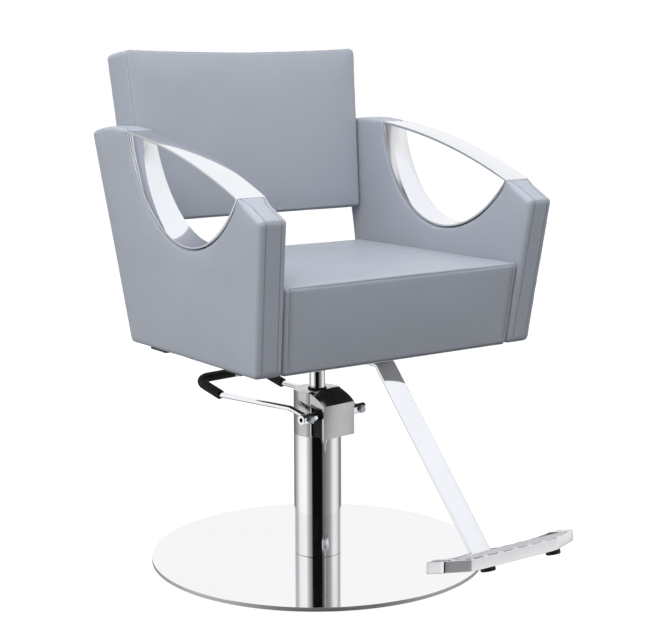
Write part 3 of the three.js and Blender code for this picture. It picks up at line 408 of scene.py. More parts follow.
def upholstered(name, corners, width, gusset, place, settings, **options):
    """A panel, a gusset and a panel sewn into a closed box over foam. The outline is (u, v) and
    the gusset's stations run across the width; place turns u, v, w into x, y, z."""
    radius = options.get("edge_radius", settings.edge_radius / MM)
    grid_step = options.get("grid", 9)
    outline, seams = resampled(corners, options.get("spacing", 6))
    tightness = options.get("tightness", lambda p: np.ones(len(p)))(outline)
    side = inward(outline)
    stations = []  # inset, depth from the near face, seam, is on the gusset
    sewn_edge = options.get("sewn_edge", 1)
    for angle, seam in zip(EDGE_ANGLES[::-1], [sewn_edge * s for s in EDGE_SEAM[::-1]]):
        c, s = math.cos(math.radians(angle)), math.sin(math.radians(angle))
        stations.append((radius * (1 - c), radius * (1 - s), seam, c, s))
    near_edge = list(stations)
    middle = [(0.0, w, seam, 1.0, 0.0) for w, seam in gusset]
    far_edge = [(i, width - w, seam, c, -s) for i, w, seam, c, s in near_edge[::-1]]
    stations = near_edge + middle + far_edge
    rows = len(stations)
    inset = np.array([s[0] for s in stations])
    depth = np.array([s[1] for s in stations])
    seam = np.array([s[2] for s in stations])
    push_in = np.array([s[3] for s in stations])
    push_w = np.array([s[4] for s in stations])
    near = depth < width / 2
    edge = np.where(near, depth, width - depth)
    scaled = np.minimum(edge, radius)[None] * tightness[:, None] + (edge - np.minimum(edge, radius))
    scaled = np.minimum(scaled, width / 2)
    w = np.where(near[None], scaled, width - scaled)
    stitch_mask = options.get("stitch_mask", lambda p: np.zeros(len(p)))(outline)
    is_gusset = np.zeros(rows, bool)
    is_gusset[len(near_edge):len(near_edge) + len(middle)] = True
    groove = np.where(is_gusset[None], seam[None] * stitch_mask[:, None], seam[None])
    seam_depth = options.get("seam_depth", settings.seam_depth / MM)
    push = groove * seam_depth * tightness[:, None]
    push = push + (seams * seam_depth)[:, None] * (push_in ** 2)[None] * (1 - seam[None])
    amount = np.maximum(groove, seams[:, None] * push_in[None])
    inwards = inset[None] * tightness[:, None] + push * push_in[None]
    crown = options.get("gusset_crown", 1.2)
    taut = options.get("gusset_mask", lambda p: np.ones(len(p)))(outline)
    inwards -= crown * taut[:, None] * (np.sin(np.pi * np.clip(w / width, 0, 1)) ** 0.7)
    w = w + push * push_w[None]
    uv = outline[:, None, :] + side[:, None, :] * inwards[:, :, None]
    count = len(outline)
    body = np.concatenate([uv, w[:, :, None]], 2).reshape(-1, 3)
    vertices = list(body)
    seam_values = list(amount.reshape(-1))
    faces = []
    for i in range(count):
        n = (i + 1) % count
        for j in range(rows - 1):
            faces.append([i * rows + j, n * rows + j, n * rows + j + 1, i * rows + j + 1])
    lo, hi = outline.min(0), outline.max(0)
    us = np.arange(lo[0], hi[0] + grid_step, grid_step)
    vs = np.arange(lo[1], hi[1] + grid_step, grid_step)
    lattice = np.array([(u + (0.5 * grid_step if k % 2 else 0), v) for k, v in enumerate(vs) for u in us])
    apart, inside = distance_to(outline, lattice)
    lattice = lattice[inside & (apart > radius + 0.75 * grid_step)]
    ring_spacing = outline + side * (radius + 0.45 * grid_step)
    apart, inside = distance_to(outline, ring_spacing)
    ring = ring_spacing[inside & (apart > radius + 0.4 * grid_step)][::2]
    for cap, j in ((0, 0), (1, rows - 1)):
        boundary = uv[:, j]
        points = [Vector(p) for p in boundary] + [Vector(p) for p in ring] + [Vector(p) for p in lattice]
        made = geometry.delaunay_2d_cdt(points, [], [list(range(count))], 1, 1e-4)
        index = {}
        for k, origin in enumerate(made[3]):
            first = min(origin) if origin else None
            if first is not None and first < count:
                index[k] = first * rows + j
            else:
                index[k] = len(vertices)
                vertices.append(np.array([made[0][k][0], made[0][k][1], width * cap]))
                seam_values.append(0)
        for triangle in made[2]:
            faces.append([index[k] for k in triangle])
    vertices = np.array(vertices)
    seam_values = np.array(seam_values)
    apart, _ = distance_to(outline, vertices[:, :2])
    panel_crown = options.get("panel_crown", (2.5, 2.5))
    soft = options.get("panel_mask", lambda p: np.ones(len(p)))(vertices[:, :2])
    lift = (1 - np.exp(-np.maximum(apart - radius, 0) / 30)) * soft
    on_near = vertices[:, 2] < width * 0.5
    flat = (np.minimum(vertices[:, 2], width - vertices[:, 2]) < radius * 1.1)
    vertices[:, 2] += np.where(flat, np.where(on_near, -panel_crown[0], panel_crown[1]) * lift, 0)
    spread = np.array(place(vertices[:, 0], vertices[:, 1], vertices[:, 2])).T
    made = piece(name, spread, faces)
    bm = bmesh.new()
    bm.from_mesh(made.data)
    bmesh.ops.recalc_face_normals(bm, faces=bm.faces)
    bm.to_mesh(made.data)
    bm.free()
    swell(made, seam_values, options.get("swell", 2.0), options.get("voxel", 6))
    pucker(made, seam_values, options.get("seed", 1), options.get("pucker", 0.55))
    # The seam amount is also the mask that the leatherette uses to paint shade along the seams.
    attribute = made.data.attributes.new("seam", "FLOAT", "POINT")
    attribute.data.foreach_set("value", seam_values.astype(np.float32))
    smooth(made, 180)
    grid = np.arange(count * rows).reshape(count, rows)
    return made, outline, grid, stations


def swell(obj, seams, cap, voxel):
    """Lets the foam press the cover out: a remeshed copy is inflated as cloth, its moves are scaled
    until the largest meet the cap, and each point moves as the nearest cloth did, less at a seam."""
    if not cap:
        return
    scene = bpy.context.scene
    proxy = linked("foam", obj.data.copy())
    remesh = proxy.modifiers.new("voxels", "REMESH")
    remesh.mode = "VOXEL"
    remesh.voxel_size = voxel * MM
    settled(proxy)
    rest = np.array([v.co for v in proxy.data.vertices])
    cloth = proxy.modifiers.new("cloth", "CLOTH")
    cloth.settings.use_pressure = True
    cloth.settings.uniform_pressure_force = 4
    cloth.settings.effector_weights.gravity = 0
    cloth.point_cache.frame_start, cloth.point_cache.frame_end = 1, 20
    for number in range(1, 21):
        scene.frame_set(number)
    blown = proxy.evaluated_get(bpy.context.evaluated_depsgraph_get())
    moved = np.array([v.co for v in blown.data.vertices]) - rest
    scene.frame_set(1)
    bpy.data.objects.remove(proxy)
    tree = kdtree.KDTree(len(rest))
    for k, point in enumerate(rest):
        tree.insert(point, k)
    tree.balance()
    length = np.linalg.norm(moved, axis=1)
    moved *= (cap * MM / max(np.percentile(length, 95), 1e-9))
    length = np.linalg.norm(moved, axis=1)
    moved *= np.minimum(1, cap * MM / np.maximum(length, 1e-9))[:, None]
    for k, vertex in enumerate(obj.data.vertices):
        near = [index for _, index, _ in tree.find_n(vertex.co, 12)]
        vertex.co += Vector(moved[near].mean(0)) * (1 - 0.7 * seams[k])
    obj.data.update()


def pucker(obj, seams, seed, height):
    """Small ripples where the cover is drawn in beside its seams."""
    sewn = [k for k in range(len(seams)) if seams[k] >= 0.99]
    if not sewn:
        return
    tree = kdtree.KDTree(len(sewn))
    for k in sewn:
        tree.insert(obj.data.vertices[k].co, k)
    tree.balance()
    moves = []
    for k, vertex in enumerate(obj.data.vertices):
        away = tree.find(vertex.co)[2] / MM
        near = math.exp(-((away - 4) / 7) ** 2)
        wave = noise.noise(vertex.co / (13 * MM) + Vector((seed * 3.7, 0, 0)))
        broad = noise.noise(vertex.co / (70 * MM) + Vector((0, seed * 2.9, 0)))
        moves.append(vertex.normal * (height * wave * near + 0.35 * broad) * MM)
    for vertex, move in zip(obj.data.vertices, moves):
        vertex.co += move
    obj.data.update()


# ---- Node trees ---------------------------------------------------------------------------------
def add(tree, kind, inputs=None, **settings):
    """Adds a node, sets its settings, and sets or links its inputs."""
    node = tree.nodes.new(kind)
    for key, value in settings.items():
        setattr(node, key, value)
    for key, value in (inputs or {}).items():
        if isinstance(value, bpy.types.NodeSocket):
            tree.links.new(value, node.inputs[key])
        else:
            node.inputs[key].default_value = value
    return node


def path_tree(name, shape, sizes):
    """A tree that sets a shape at even steps along the object's own edges."""
    tree = bpy.data.node_groups.new(name, "GeometryNodeTree")
    tree.interface.new_socket("Geometry", in_out="INPUT", socket_type="NodeSocketGeometry")
    for label, value in sizes.items():
        socket = tree.interface.new_socket(label, in_out="INPUT", socket_type="NodeSocketFloat")
        socket.default_value = value
    finish = tree.interface.new_socket("Finish", in_out="INPUT", socket_type="NodeSocketMaterial")
    finish.description = "The material that the shapes are made of"
    tree.interface.new_socket("Geometry", in_out="OUTPUT", socket_type="NodeSocketGeometry")
    given = add(tree, "NodeGroupInput")
    curve = add(tree, "GeometryNodeMeshToCurve", {"Mesh": given.outputs["Geometry"]})
    stations = add(
        tree,
        "GeometryNodeCurveToPoints",
        {"Curve": curve.outputs["Curve"], "Length": given.outputs["Pitch"]},
        mode="LENGTH",
    )
    instances = add(
        tree,
        "GeometryNodeInstanceOnPoints",
        {
            "Points": stations.outputs["Points"],
            "Instance": shape(tree, given),
            "Rotation": stations.outputs["Rotation"],
        },
    )
    close_tree(tree, instances.outputs["Instances"], given)
    return tree


def close_tree(tree, instances, given):
    real = add(tree, "GeometryNodeRealizeInstances", {"Geometry": instances})
    shaded = add(tree, "GeometryNodeSetShadeSmooth", {"Geometry": real.outputs["Geometry"]})
    finished = add(
        tree,
        "GeometryNodeSetMaterial",
        {"Geometry": shaded.outputs["Geometry"], "Material": given.outputs["Finish"]},
    )
    add(tree, "NodeGroupOutput", {"Geometry": finished.outputs["Geometry"]})


def stitch_shape(tree, given):
    """A short round thread, standing along the path."""
    size = add(
        tree,
        "ShaderNodeCombineXYZ",
        {"X": given.outputs["Thread radius"], "Y": given.outputs["Thread radius"]},
    )
    tree.links.new(given.outputs["Half length"], size.inputs["Z"])
    ball = add(tree, "GeometryNodeMeshUVSphere", {"Segments": 6, "Rings": 5, "Radius": 1})
    stretched = add(
        tree,
        "GeometryNodeTransform",
        {"Geometry": ball.outputs["Mesh"], "Scale": size.outputs["Vector"]},
    )
    return stretched.outputs["Geometry"]


def ring_shape(tree, given):
    """A ring round the path."""
    hoop = add(
        tree,
        "GeometryNodeCurvePrimitiveCircle",
        {"Resolution": 20, "Radius": given.outputs["Ring radius"]},
    )
    section = add(
        tree,
        "GeometryNodeCurvePrimitiveCircle",
        {"Resolution": 6, "Radius": given.outputs["Rib radius"]},
    )
    ring = add(
        tree,
        "GeometryNodeCurveToMesh",
        {"Curve": hoop.outputs["Curve"], "Profile Curve": section.outputs["Curve"]},
    )
    return ring.outputs["Mesh"]


def bar_shape(tree, given):
    """A round bar that lies along the path, for the tread's ribs."""
    bar = add(
        tree,
        "GeometryNodeMeshCylinder",
        {"Vertices": 32, "Radius": given.outputs["Bar radius"], "Depth": given.outputs["Bar length"]},
    )
    return bar.outputs["Mesh"]


WASHER_THICKNESS, WASHER_LIFT = 1.4, 2.6


def hex_shape(tree, given):
    """A hexagon head below a washer."""
    head = add(
        tree,
        "GeometryNodeMeshCylinder",
        {"Vertices": 6, "Radius": given.outputs["Head radius"], "Depth": given.outputs["Head height"]},
    )
    washer = add(
        tree,
        "GeometryNodeMeshCylinder",
        {"Vertices": 28, "Radius": given.outputs["Washer radius"], "Depth": WASHER_THICKNESS * MM},
    )
    raised = add(
        tree,
        "GeometryNodeTransform",
        {"Geometry": washer.outputs["Mesh"], "Translation": (0, 0, WASHER_LIFT * MM)},
    )
    both = add(tree, "GeometryNodeJoinGeometry", {"Geometry": head.outputs["Mesh"]})
    tree.links.new(raised.outputs["Geometry"], both.inputs["Geometry"])
    return both.outputs["Geometry"]


def along(name, paths, tree_name, shape, sizes, finish):
    """A plain mesh of a shape repeated along open paths of points in millimetres."""
    vertices, edges = [], []
    for path in paths:
        start = len(vertices)
        vertices += [Vector(p) * MM for p in path]
        edges += [(start + k, start + k + 1) for k in range(len(path) - 1)]
    mesh = bpy.data.meshes.new(name)
    mesh.from_pydata(vertices, edges, [])
    made = linked(name, mesh)
    tree = bpy.data.node_groups.get(tree_name) or path_tree(tree_name, shape, sizes)
    modifier = made.modifiers.new("repeat", "NODES")
    modifier.node_group = tree
    for item in tree.interface.items_tree:
        if item.in_out == "INPUT" and item.name in sizes:
            modifier[item.identifier] = float(sizes[item.name])
        elif item.in_out == "INPUT" and item.name == "Finish":
            modifier[item.identifier] = finish
    settled(made)
    made.data.materials.clear()
    made.data.materials.append(finish)
    return made


# ---- Materials ----------------------------------------------------------------------------------
def linear(colour):
    """An sRGB hex colour as linear red, green, blue and alpha."""
    channels = [int(colour[k:k + 2], 16) / 255 for k in (1, 3, 5)]
    return [c / 12.92 if c <= 0.04045 else ((c + 0.055) / 1.055) ** 2.4 for c in channels] + [1]


def surface(name, **fixed):
    """A new material with its shader's uniform values set on the shader itself."""
    material = bpy.data.materials.get(name)
    if material:
        return material, None, None
    material = bpy.data.materials.new(name)
    material.use_nodes = True
    tree = material.node_tree
    shader = tree.nodes["Principled BSDF"]
    for key, value in fixed.items():
        shader.inputs[key.replace("_", " ")].default_value = value
    return material, tree, shader


def speckle(tree, size_mm, detail=2.0, stretch=(1, 1, 1)):
    """Noise whose features are about a size in millimetres, on the object's own coordinates."""
    place = add(tree, "ShaderNodeTexCoord")
    scaled = add(tree, "ShaderNodeMapping", {"Vector": place.outputs["Object"], "Scale": stretch})
    return add(
        tree,
        "ShaderNodeTexNoise",
        {"Vector": scaled.outputs["Vector"], "Scale": 1 / (size_mm * MM), "Detail": detail},
    ).outputs["Fac"]


def between(tree, value, low, high, start=0.3, stop=0.7, most=1.0):
    """Goes from low to high, which are numbers or colours, as the value goes from start to stop.
    A colour goes only the share of the way that most says."""
    number = isinstance(low, float)
    ends = (low, high) if number else (0.0, most)
    inputs = {"Value": value, "From Min": start, "From Max": stop, "To Min": ends[0], "To Max": ends[1]}
    share = add(tree, "ShaderNodeMapRange", inputs).outputs["Result"]
    if number:
        return share
    return add(tree, "ShaderNodeMix", {0: share, 6: low, 7: high}, data_type="RGBA").outputs[2]


def bumped(tree, shader, heights):
    """Bump from several heights, each (socket, depth in millimetres)."""
    normal = None
    for height, depth in heights:
        inputs = {"Height": height, "Distance": depth * MM, "Strength": 1.0}
        if normal:
            inputs["Normal"] = normal
        normal = add(tree, "ShaderNodeBump", inputs).outputs["Normal"]
    tree.links.new(normal, shader.inputs["Normal"])


def pu_leatherette(settings):
    """Coated upholstery cloth, embossed with a leather grain: a soft even sheen, a pebbled bump
    of about 1.3 mm (coarser than the real grain, or it would not show), cloudy tone
    where hands and cleaning have worked it, and darker, duller cover drawn in at the seams;
    the darkening there is painted shade for the seam grooves."""
    material, tree, shader = surface("pu_leatherette", Specular_IOR_Level=0.4)
    if tree is None:
        return material
    colour = list(settings.cover_colour)
    lighter = [min(1, c * 1.02) for c in colour[:3]] + [1]
    darker = [c * 0.975 for c in colour[:3]] + [1]
    seam = add(tree, "ShaderNodeAttribute", attribute_name="seam").outputs["Fac"]
    cloud = between(tree, speckle(tree, 90), darker, lighter)
    fine = between(tree, speckle(tree, 1.6), cloud, darker, most=0.5)
    # Painted shade: the colour falls towards 0.45 of the cover's where the seam attribute is high, standing
    # in for the shade in the seam grooves.
    sewn = between(tree, seam, fine, [c * 0.45 for c in colour[:3]] + [1], 0, 1)
    tree.links.new(sewn, shader.inputs["Base Color"])
    dull = settings.cover_roughness
    rough = between(tree, speckle(tree, 40), dull - 0.05, dull + 0.06)
    tree.links.new(rough, shader.inputs["Roughness"])
    place = add(tree, "ShaderNodeTexCoord").outputs["Object"]
    grain = add(
        tree,
        "ShaderNodeTexVoronoi",
        {"Vector": place, "Scale": 1 / settings.grain},
        feature="SMOOTH_F1",
    ).outputs["Distance"]
    bumped(tree, shader, [(grain, 0.10), (speckle(tree, 3), 0.10), (speckle(tree, 28), 0.12)])
    return material


def polyester_thread():
    """Bonded sewing thread: a dull twist a little darker than the cover it sews."""
    material, tree, shader = surface("polyester_thread", Specular_IOR_Level=0.3)
    if tree:
        tone = between(tree, speckle(tree, 0.8), linear("#5d626d"), linear("#7b808b"), 0, 1)
        tree.links.new(tone, shader.inputs["Base Color"])
        tree.links.new(between(tree, speckle(tree, 0.8), 0.5, 0.7), shader.inputs["Roughness"])
    return material


def metal(name, colour, rough, spread, waves, grain_mm=4.0, stretch=(1, 1, 1), tint=0.94):
    """A bare or plated metal: reflections from its roughness, faint tone, and a slight wave."""
    material, tree, shader = surface(name, Metallic=1.0)
    if tree:
        base = linear(colour)
        worn = [c * tint for c in base[:3]] + [1]
        tone = between(tree, speckle(tree, grain_mm * 12), worn, base)
        tree.links.new(tone, shader.inputs["Base Color"])
        noise_fac = speckle(tree, grain_mm, 3, stretch)
        tree.links.new(between(tree, noise_fac, rough, rough + spread), shader.inputs["Roughness"])
        if waves:
            bumped(tree, shader, [(speckle(tree, grain_mm, 3, stretch), waves)])
    return material


def chrome_plate():
    """Bright chrome over polished steel: a hard mirror with the faintest orange peel."""
    return metal("bright_chrome_plate", "#f6f6f8", 0.03, 0.05, 0.004, 14)


def satin_chrome():
    """Chrome over a brushed pressing: reflections spread into a grey sheen with upright grain."""
    return metal("satin_chrome_pressing", "#bebfc0", 0.15, 0.05, 0.002, 1.2, (1, 1, 0.06))


def mirror_stainless():
    """Polished stainless sheet: a clear, slightly cloudy mirror from the polishing wheel."""
    return metal("mirror_polished_stainless", "#f7f7f7", 0.02, 0.05, 0.0, 60, tint=0.97)


def turned_edge():
    """The sheet's turned-down rim, left with a satin edge that shows as a grey band."""
    return metal("satin_stainless_rim", "#c6c7c9", 0.5, 0.12, 0.01, 3)


def cast_aluminium():
    """Sand-cast aluminium, polished by hand: bright and slightly uneven, with soft pits."""
    return metal("polished_cast_aluminium", "#f7f7fa", 0.13, 0.12, 0.012, 5)


def ground_steel():
    """Ground steel: a dull bright bar with fine marks round it."""
    return metal("ground_steel", "#a8aaad", 0.28, 0.15, 0.006, 0.8, (1, 1, 8))


def zinc_plate():
    """Zinc-plated fixings: pale, milky metal with a slightly blue cast."""
    return metal("zinc_plated_steel", "#b9bfc6", 0.32, 0.16, 0.02, 2.0)


def coating(name, low, high, rough, depth, size_mm, specular=0.5):
    material, tree, shader = surface(name, Specular_IOR_Level=specular)
    if tree:
        tone = between(tree, speckle(tree, size_mm * 6), linear(low), linear(high))
        tree.links.new(tone, shader.inputs["Base Color"])
        dull = between(tree, speckle(tree, size_mm * 3), rough, rough + 0.12)
        tree.links.new(dull, shader.inputs["Roughness"])
        bumped(tree, shader, [(speckle(tree, size_mm, 3), depth)])
    return material


def powder_coat():
    """Black powder coat on the seat's steelwork: an even half gloss with a fine orange peel."""
    return coating("black_powder_coat", "#131415", "#1b1c1e", 0.38, 0.06, 1.5)


def moulded_rubber():
    """Moulded rubber: dull black that greys a little where it is handled."""
    return coating("moulded_rubber", "#101011", "#232324", 0.5, 0.05, 0.9, 0.35)


def grey_iron():
    """Cast iron under black paint: coarse sand texture, nearly matt."""
    return coating("painted_grey_iron", "#0f0f10", "#1a1a1b", 0.6, 0.2, 1.8, 0.3)


def black_lining():
    """Non-woven polypropylene under the seat: matt dark grey felt with a dimpled bond pattern. The
    front strip is pale only so that the strut's top reflects something light; it is no known feature."""
    material = coating("black_nonwoven_lining", "#434447", "#505154", 0.9, 0.15, 1.2, 0.1)
    tree = material.node_tree
    shader = tree.nodes["Principled BSDF"]
    place = add(tree, "ShaderNodeTexCoord").outputs["Object"]
    y = add(tree, "ShaderNodeSeparateXYZ", {"Vector": place}).outputs["Y"]
    felt = shader.inputs["Base Color"].links[0].from_socket
    tone = between(tree, y, linear("#d9dbe0"), felt, -0.172, -0.171)
    tree.links.new(tone, shader.inputs["Base Color"])
    return material


def birch_plywood():
    """Birch plywood: pale wood with long, narrow grain."""
    material, tree, shader = surface("birch_plywood", Specular_IOR_Level=0.3)
    if tree:
        grain = speckle(tree, 5, 4, (1, 0.12, 1))
        tone = between(tree, grain, linear("#b08d5c"), linear("#cfb083"))
        tree.links.new(tone, shader.inputs["Base Color"])
        tree.links.new(between(tree, grain, 0.55, 0.7), shader.inputs["Roughness"])
        bumped(tree, shader, [(grain, 0.1)])
    return material


def studio_paper():
    """White background paper over a light table: matt and even. It glows for camera rays only, so
    that shadows fade out without the glow lighting the chair."""
    material, tree, shader = surface("studio_paper", Specular_IOR_Level=0.1, Roughness=0.9)
    if tree:
        tone = between(tree, speckle(tree, 240), linear("#7d7d7d"), linear("#7f7f7f"), 0, 1)
        tree.links.new(tone, shader.inputs["Base Color"])
        shader.inputs["Emission Color"].default_value = (1, 1, 1, 1)
        glow = add(
            tree,
            "ShaderNodeMath",
            {0: add(tree, "ShaderNodeLightPath").outputs["Is Camera Ray"], 1: 0.9},
            operation="MULTIPLY",
        )
        tree.links.new(glow.outputs[0], shader.inputs["Emission Strength"])
    return material


def clothed(obj, material):
    obj.data.materials.clear()
    obj.data.materials.append(material)
    return obj


def fitted(obj, body, slot, *nodes):
    """Hangs a finished piece on its body's empty and hides the nodes that it stands for. The slot is not
    used.
    """
    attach(obj, body)
    if nodes:
        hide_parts(*nodes)
    return obj


def kept(names, material):
    """Gives CAD nodes that keep their shape their finish."""
    for name in names:
        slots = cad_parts[name].material_slots
        for slot in slots:
            slot.material = material


# ---- Settings -----------------------------------------------------------------------------------
def length(name, description, default_mm, low_mm=0.0, high_mm=100.0):
    return bpy.props.FloatProperty(
        name=name,
        description=description,
        default=default_mm * MM,
        min=low_mm * MM,
        max=high_mm * MM,
        unit="LENGTH",
        precision=5,
    )


def colour(name, description, value):
    return bpy.props.FloatVectorProperty(
        name=name, description=description, size=4, subtype="COLOR", default=linear(value), min=0, max=1
    )


def factor(name, description, default):
    return bpy.props.FloatProperty(
        name=name, description=description, default=default, min=0, max=1, subtype="FACTOR"
    )


class ChairUpholsterySettings(bpy.types.PropertyGroup):
    cover_colour: colour("Cover colour", "Colour of the leatherette", "#8f949d")
    cover_roughness: factor("Cover roughness", "How dull the leatherette is", 0.46)
    grain: length("Grain", "Size of one pebble of the leather grain", 1.3, 0.3, 5)
    edge_radius: length("Edge radius", "Roundness of the backrest's edges", 5.0, 1, 20)
    seam_depth: length("Seam depth", "How far the backrest's seams are drawn in", 1.3, 0, 5)
    stitch_pitch: length("Stitch pitch", "Distance from one stitch to the next", 4.0, 1, 12)
    stitch_length: length("Stitch length", "Length of a stitch that shows", 2.8, 0.5, 10)
    thread_radius: length("Thread radius", "Half the thickness of the thread", 0.4, 0.1, 2)


class ChairPedalSettings(bpy.types.PropertyGroup):
    rod_radius: length("Rod radius", "Half the thickness of the pedal's bar", 5.0, 2, 10)
    grip_radius: length("Grip radius", "Half the thickness of the rubber grip", 8.6, 5, 15)
    rib_pitch: length("Rib pitch", "Distance from one grip rib to the next", 3.4, 1, 10)
    rib_radius: length("Rib radius", "Half the thickness of a grip rib", 0.9, 0.2, 3)


class ChairTreadSettings(bpy.types.PropertyGroup):
    rib_pitch: length("Rib pitch", "Distance from one tread rib to the next", 30.0, 10, 60)
    rib_height: length("Rib height", "How far the ribs stand out of the tread", 3.0, 0.5, 6)
    rib_bar_radius: length("Rib bar radius", "Radius of the round bar that makes each rib", 8.0, 5, 30)


class ChairStageSettings(bpy.types.PropertyGroup):
    overhead: bpy.props.FloatProperty(
        name="Overhead light", description="Power of the softbox above", default=128, min=0, unit="POWER"
    )
    side: bpy.props.FloatProperty(
        name="Side light",
        description="Power of the softbox on the sitter's right",
        default=55,
        min=0,
        unit="POWER",
    )
    fill: factor("Fill", "Strength of the surroundings' light", 0.55)


# ---- Pieces -------------------------------------------------------------------------------------
def stitches(name, paths, body, slot, settings):
    """Rows of top stitching along paths, as one piece."""
    sizes = {
        "Pitch": settings.stitch_pitch,
        "Thread radius": settings.thread_radius,
        "Half length": settings.stitch_length / 2,
    }
    made = along(name, paths, "stitch_row", stitch_shape, sizes, polyester_thread())
    return fitted(made, body, slot)


def seam_paths(made, grid, stations, depths, points):
    """The cover's points along the stations at some depths, for its stitches."""
    return [
        [made.data.vertices[grid[i, j]].co / MM for i in points]
        for j, station in enumerate(stations)
        if min(abs(station[1] - depth) for depth in depths) < 0.01
    ]


class StepOperator:
    """What every step of the build shares."""

    bl_options = {"REGISTER", "UNDO"}

    def execute(self, context):
        self.build(context.scene)
        return {"FINISHED"}


ARM_STITCH = 12
SEWN_FRONT_Y = -208
ARM_STATIONS = [(10.4, 0), (11.1, 0.3), (ARM_STITCH, 1), (12.9, 0.3), (14, 0), (20, 0), (26.2, 0)]
ARM_STATIONS += [(ARM_WIDTH - w, seam) for w, seam in ARM_STATIONS[-2::-1]]
COVER_GROWTH = BAND_LINING + 0.3


def arm_corners():
    """The cover's side view, round under the scoop and up to the band's two ends."""
    top = arc(BAND_REAR, ARM_REAR_TOP, ARM_REAR_RISE, 16)[::-1]
    top += arc(BAND_FRONT, BAND_REAR, BAND_RISE, 24)[::-1][1:] + [ARM_FRONT_TOP]
    rear, front, run = scoop_below(COVER_GROWTH, top)
    tips = (rear[2], front[2])
    before = [p for p in top[1:rear[1] + 1] if math.dist(p, tips[0]) > 5]
    after = [p for p in top[front[1] + 1:-1] if math.dist(p, tips[1]) > 5]
    corners = [
        (*ARM_FRONT_FOOT, 8.5, 0.4),
        (*ARM_REAR_FOOT, 8.5, 0.4),
        (*ARM_REAR_TOP, 8.5, 0.6),
        *before,
        (*tips[0], 2.2, 0),
        *[p for p in run[2:-2:2] if min(math.dist(p, tip) for tip in tips) > 6],
        (*tips[1], 2.2, 0),
        *after,
        (*ARM_FRONT_TOP, 8.5, 0.6),
    ]
    return corners, np.array(tips)


def near_scoop(points):
    """1 away from the scoop and the underside, 0 on them, where the cover lies flat."""
    ring = np.array(scoop(COVER_GROWTH, 160))
    away = np.array([np.linalg.norm(ring - p, axis=1).min() for p in points])
    return np.where((away < 8) | (points[:, 1] < UNDERSIDE + 6), 0.0, 1.0)


def sewn_front(points):
    """1 along the front, the facet and the short top behind the band, where the seams show."""
    front = (points[:, 0] < SEWN_FRONT_Y) & (points[:, 1] > UNDERSIDE + 9)
    return (front | ((points[:, 1] > 766) & (points[:, 0] > 133))).astype(float)


def clear_of_band(obj):
    """Moves points that the foam pressed into the band's room back to its edge."""
    centre = Vector((SCOOP_CENTRE[0], SCOOP_CENTRE[1]))
    turn = Matrix.Rotation(-SCOOP_TURN, 2)
    back = Matrix.Rotation(SCOOP_TURN, 2)
    for vertex in obj.data.vertices:
        y, z = vertex.co.y / MM, vertex.co.z / MM
        local = turn @ (Vector((y, z)) - centre)
        reach = math.hypot(*(local[k] / (SCOOP_RADII[k] + COVER_GROWTH - 0.1) for k in (0, 1)))
        if 0 < reach < 1:
            moved = centre + back @ (local / reach)
            vertex.co.y, vertex.co.z = moved.x * MM, moved.y * MM
        vertex.co.z = max(vertex.co.z, (UNDERSIDE - 0.15) * MM)
    obj.data.update()


def arm_cover(side, sign, settings):
    corners, tips = arm_corners()

    def place(y, z, w):
        return sign * (arm_inner(y, z) + w), y, z

    def tightness(points):
        away = np.min([np.linalg.norm(points - tip, axis=1) for tip in tips], axis=0)
        return np.clip(away / 22, 0.32, 1)

    def inner_side_room(points):
        return np.clip((points[:, 1] - SEAT_TOP) / 40, 0.1, 1)

    made, outline, grid, stations = upholstered(
        f"arm_cover_{side}_upholstery",
        corners,
        ARM_WIDTH,
        ARM_STATIONS,
        place,
        settings,
        tightness=tightness,
        stitch_mask=sewn_front,
        edge_radius=8.2,
        sewn_edge=0,
        seam_depth=0.7,
        gusset_mask=near_scoop,
        panel_mask=lambda p: np.minimum(1, inner_side_room(p) + 0.35),
        panel_crown=(1.2, 2.4),
        gusset_crown=1.0,
        swell=2.0,
        seed=3 if sign > 0 else 8,
    )
    clear_of_band(made)
    clothed(made, pu_leatherette(settings))
    fitted(made, "chair", "upholstery", f"arm_cover_{side}")
    front = [i for i, p in enumerate(outline) if p[0] < SEWN_FRONT_Y and p[1] > UNDERSIDE + 8]
    rows = seam_paths(made, grid, stations, (ARM_STITCH, ARM_WIDTH - ARM_STITCH), front)
    stitches(f"arm_stitching_{side}", rows, "chair", "upholstery", settings)


class CHAIR_OT_arms(StepOperator, bpy.types.Operator):
    """Sew the two boxed arm covers over their foam."""

    bl_idname = "chair.arms"
    bl_label = "Arm covers"

    def build(self, scene):
        for side, sign in (("left", 1), ("right", -1)):
            arm_cover(side, sign, scene.chair_upholstery)


def evenly(points, count):
    """Points at equal steps along a line."""
    points = np.array(points, float)
    steps = np.linalg.norm(np.diff(points, axis=0), axis=1)
    at = np.concatenate([[0], np.cumsum(steps)])
    wanted = np.linspace(0, at[-1], count)
    return list(zip(*(np.interp(wanted, at, points[:, k]) for k in (0, 1))))


def band_loop(growth, drop):
    """A closed loop of the band: the scoop's run from rear to front, then back along the top."""
    top = [(y, z - drop) for y, z in arc(BAND_FRONT, BAND_REAR, BAND_RISE, 60)]
    first = (2 * top[0][0] - top[1][0], 2 * top[0][1] - top[1][1])
    last = (2 * top[-1][0] - top[-2][0], 2 * top[-1][1] - top[-2][1])
    for _ in range(2):
        top = [first] + top + [last]
        first = (2 * top[0][0] - top[1][0], 2 * top[0][1] - top[1][1])
        last = (2 * top[-1][0] - top[-2][0], 2 * top[-1][1] - top[-2][1])
    rear, front, run = scoop_below(growth, top)
    bottom = evenly([rear[2], *run, front[2]], 110)
    upper = evenly([front[2], *top[front[1] + 1:rear[1] + 1], rear[2]], 70)
    return bottom[:-1] + upper[:-1]


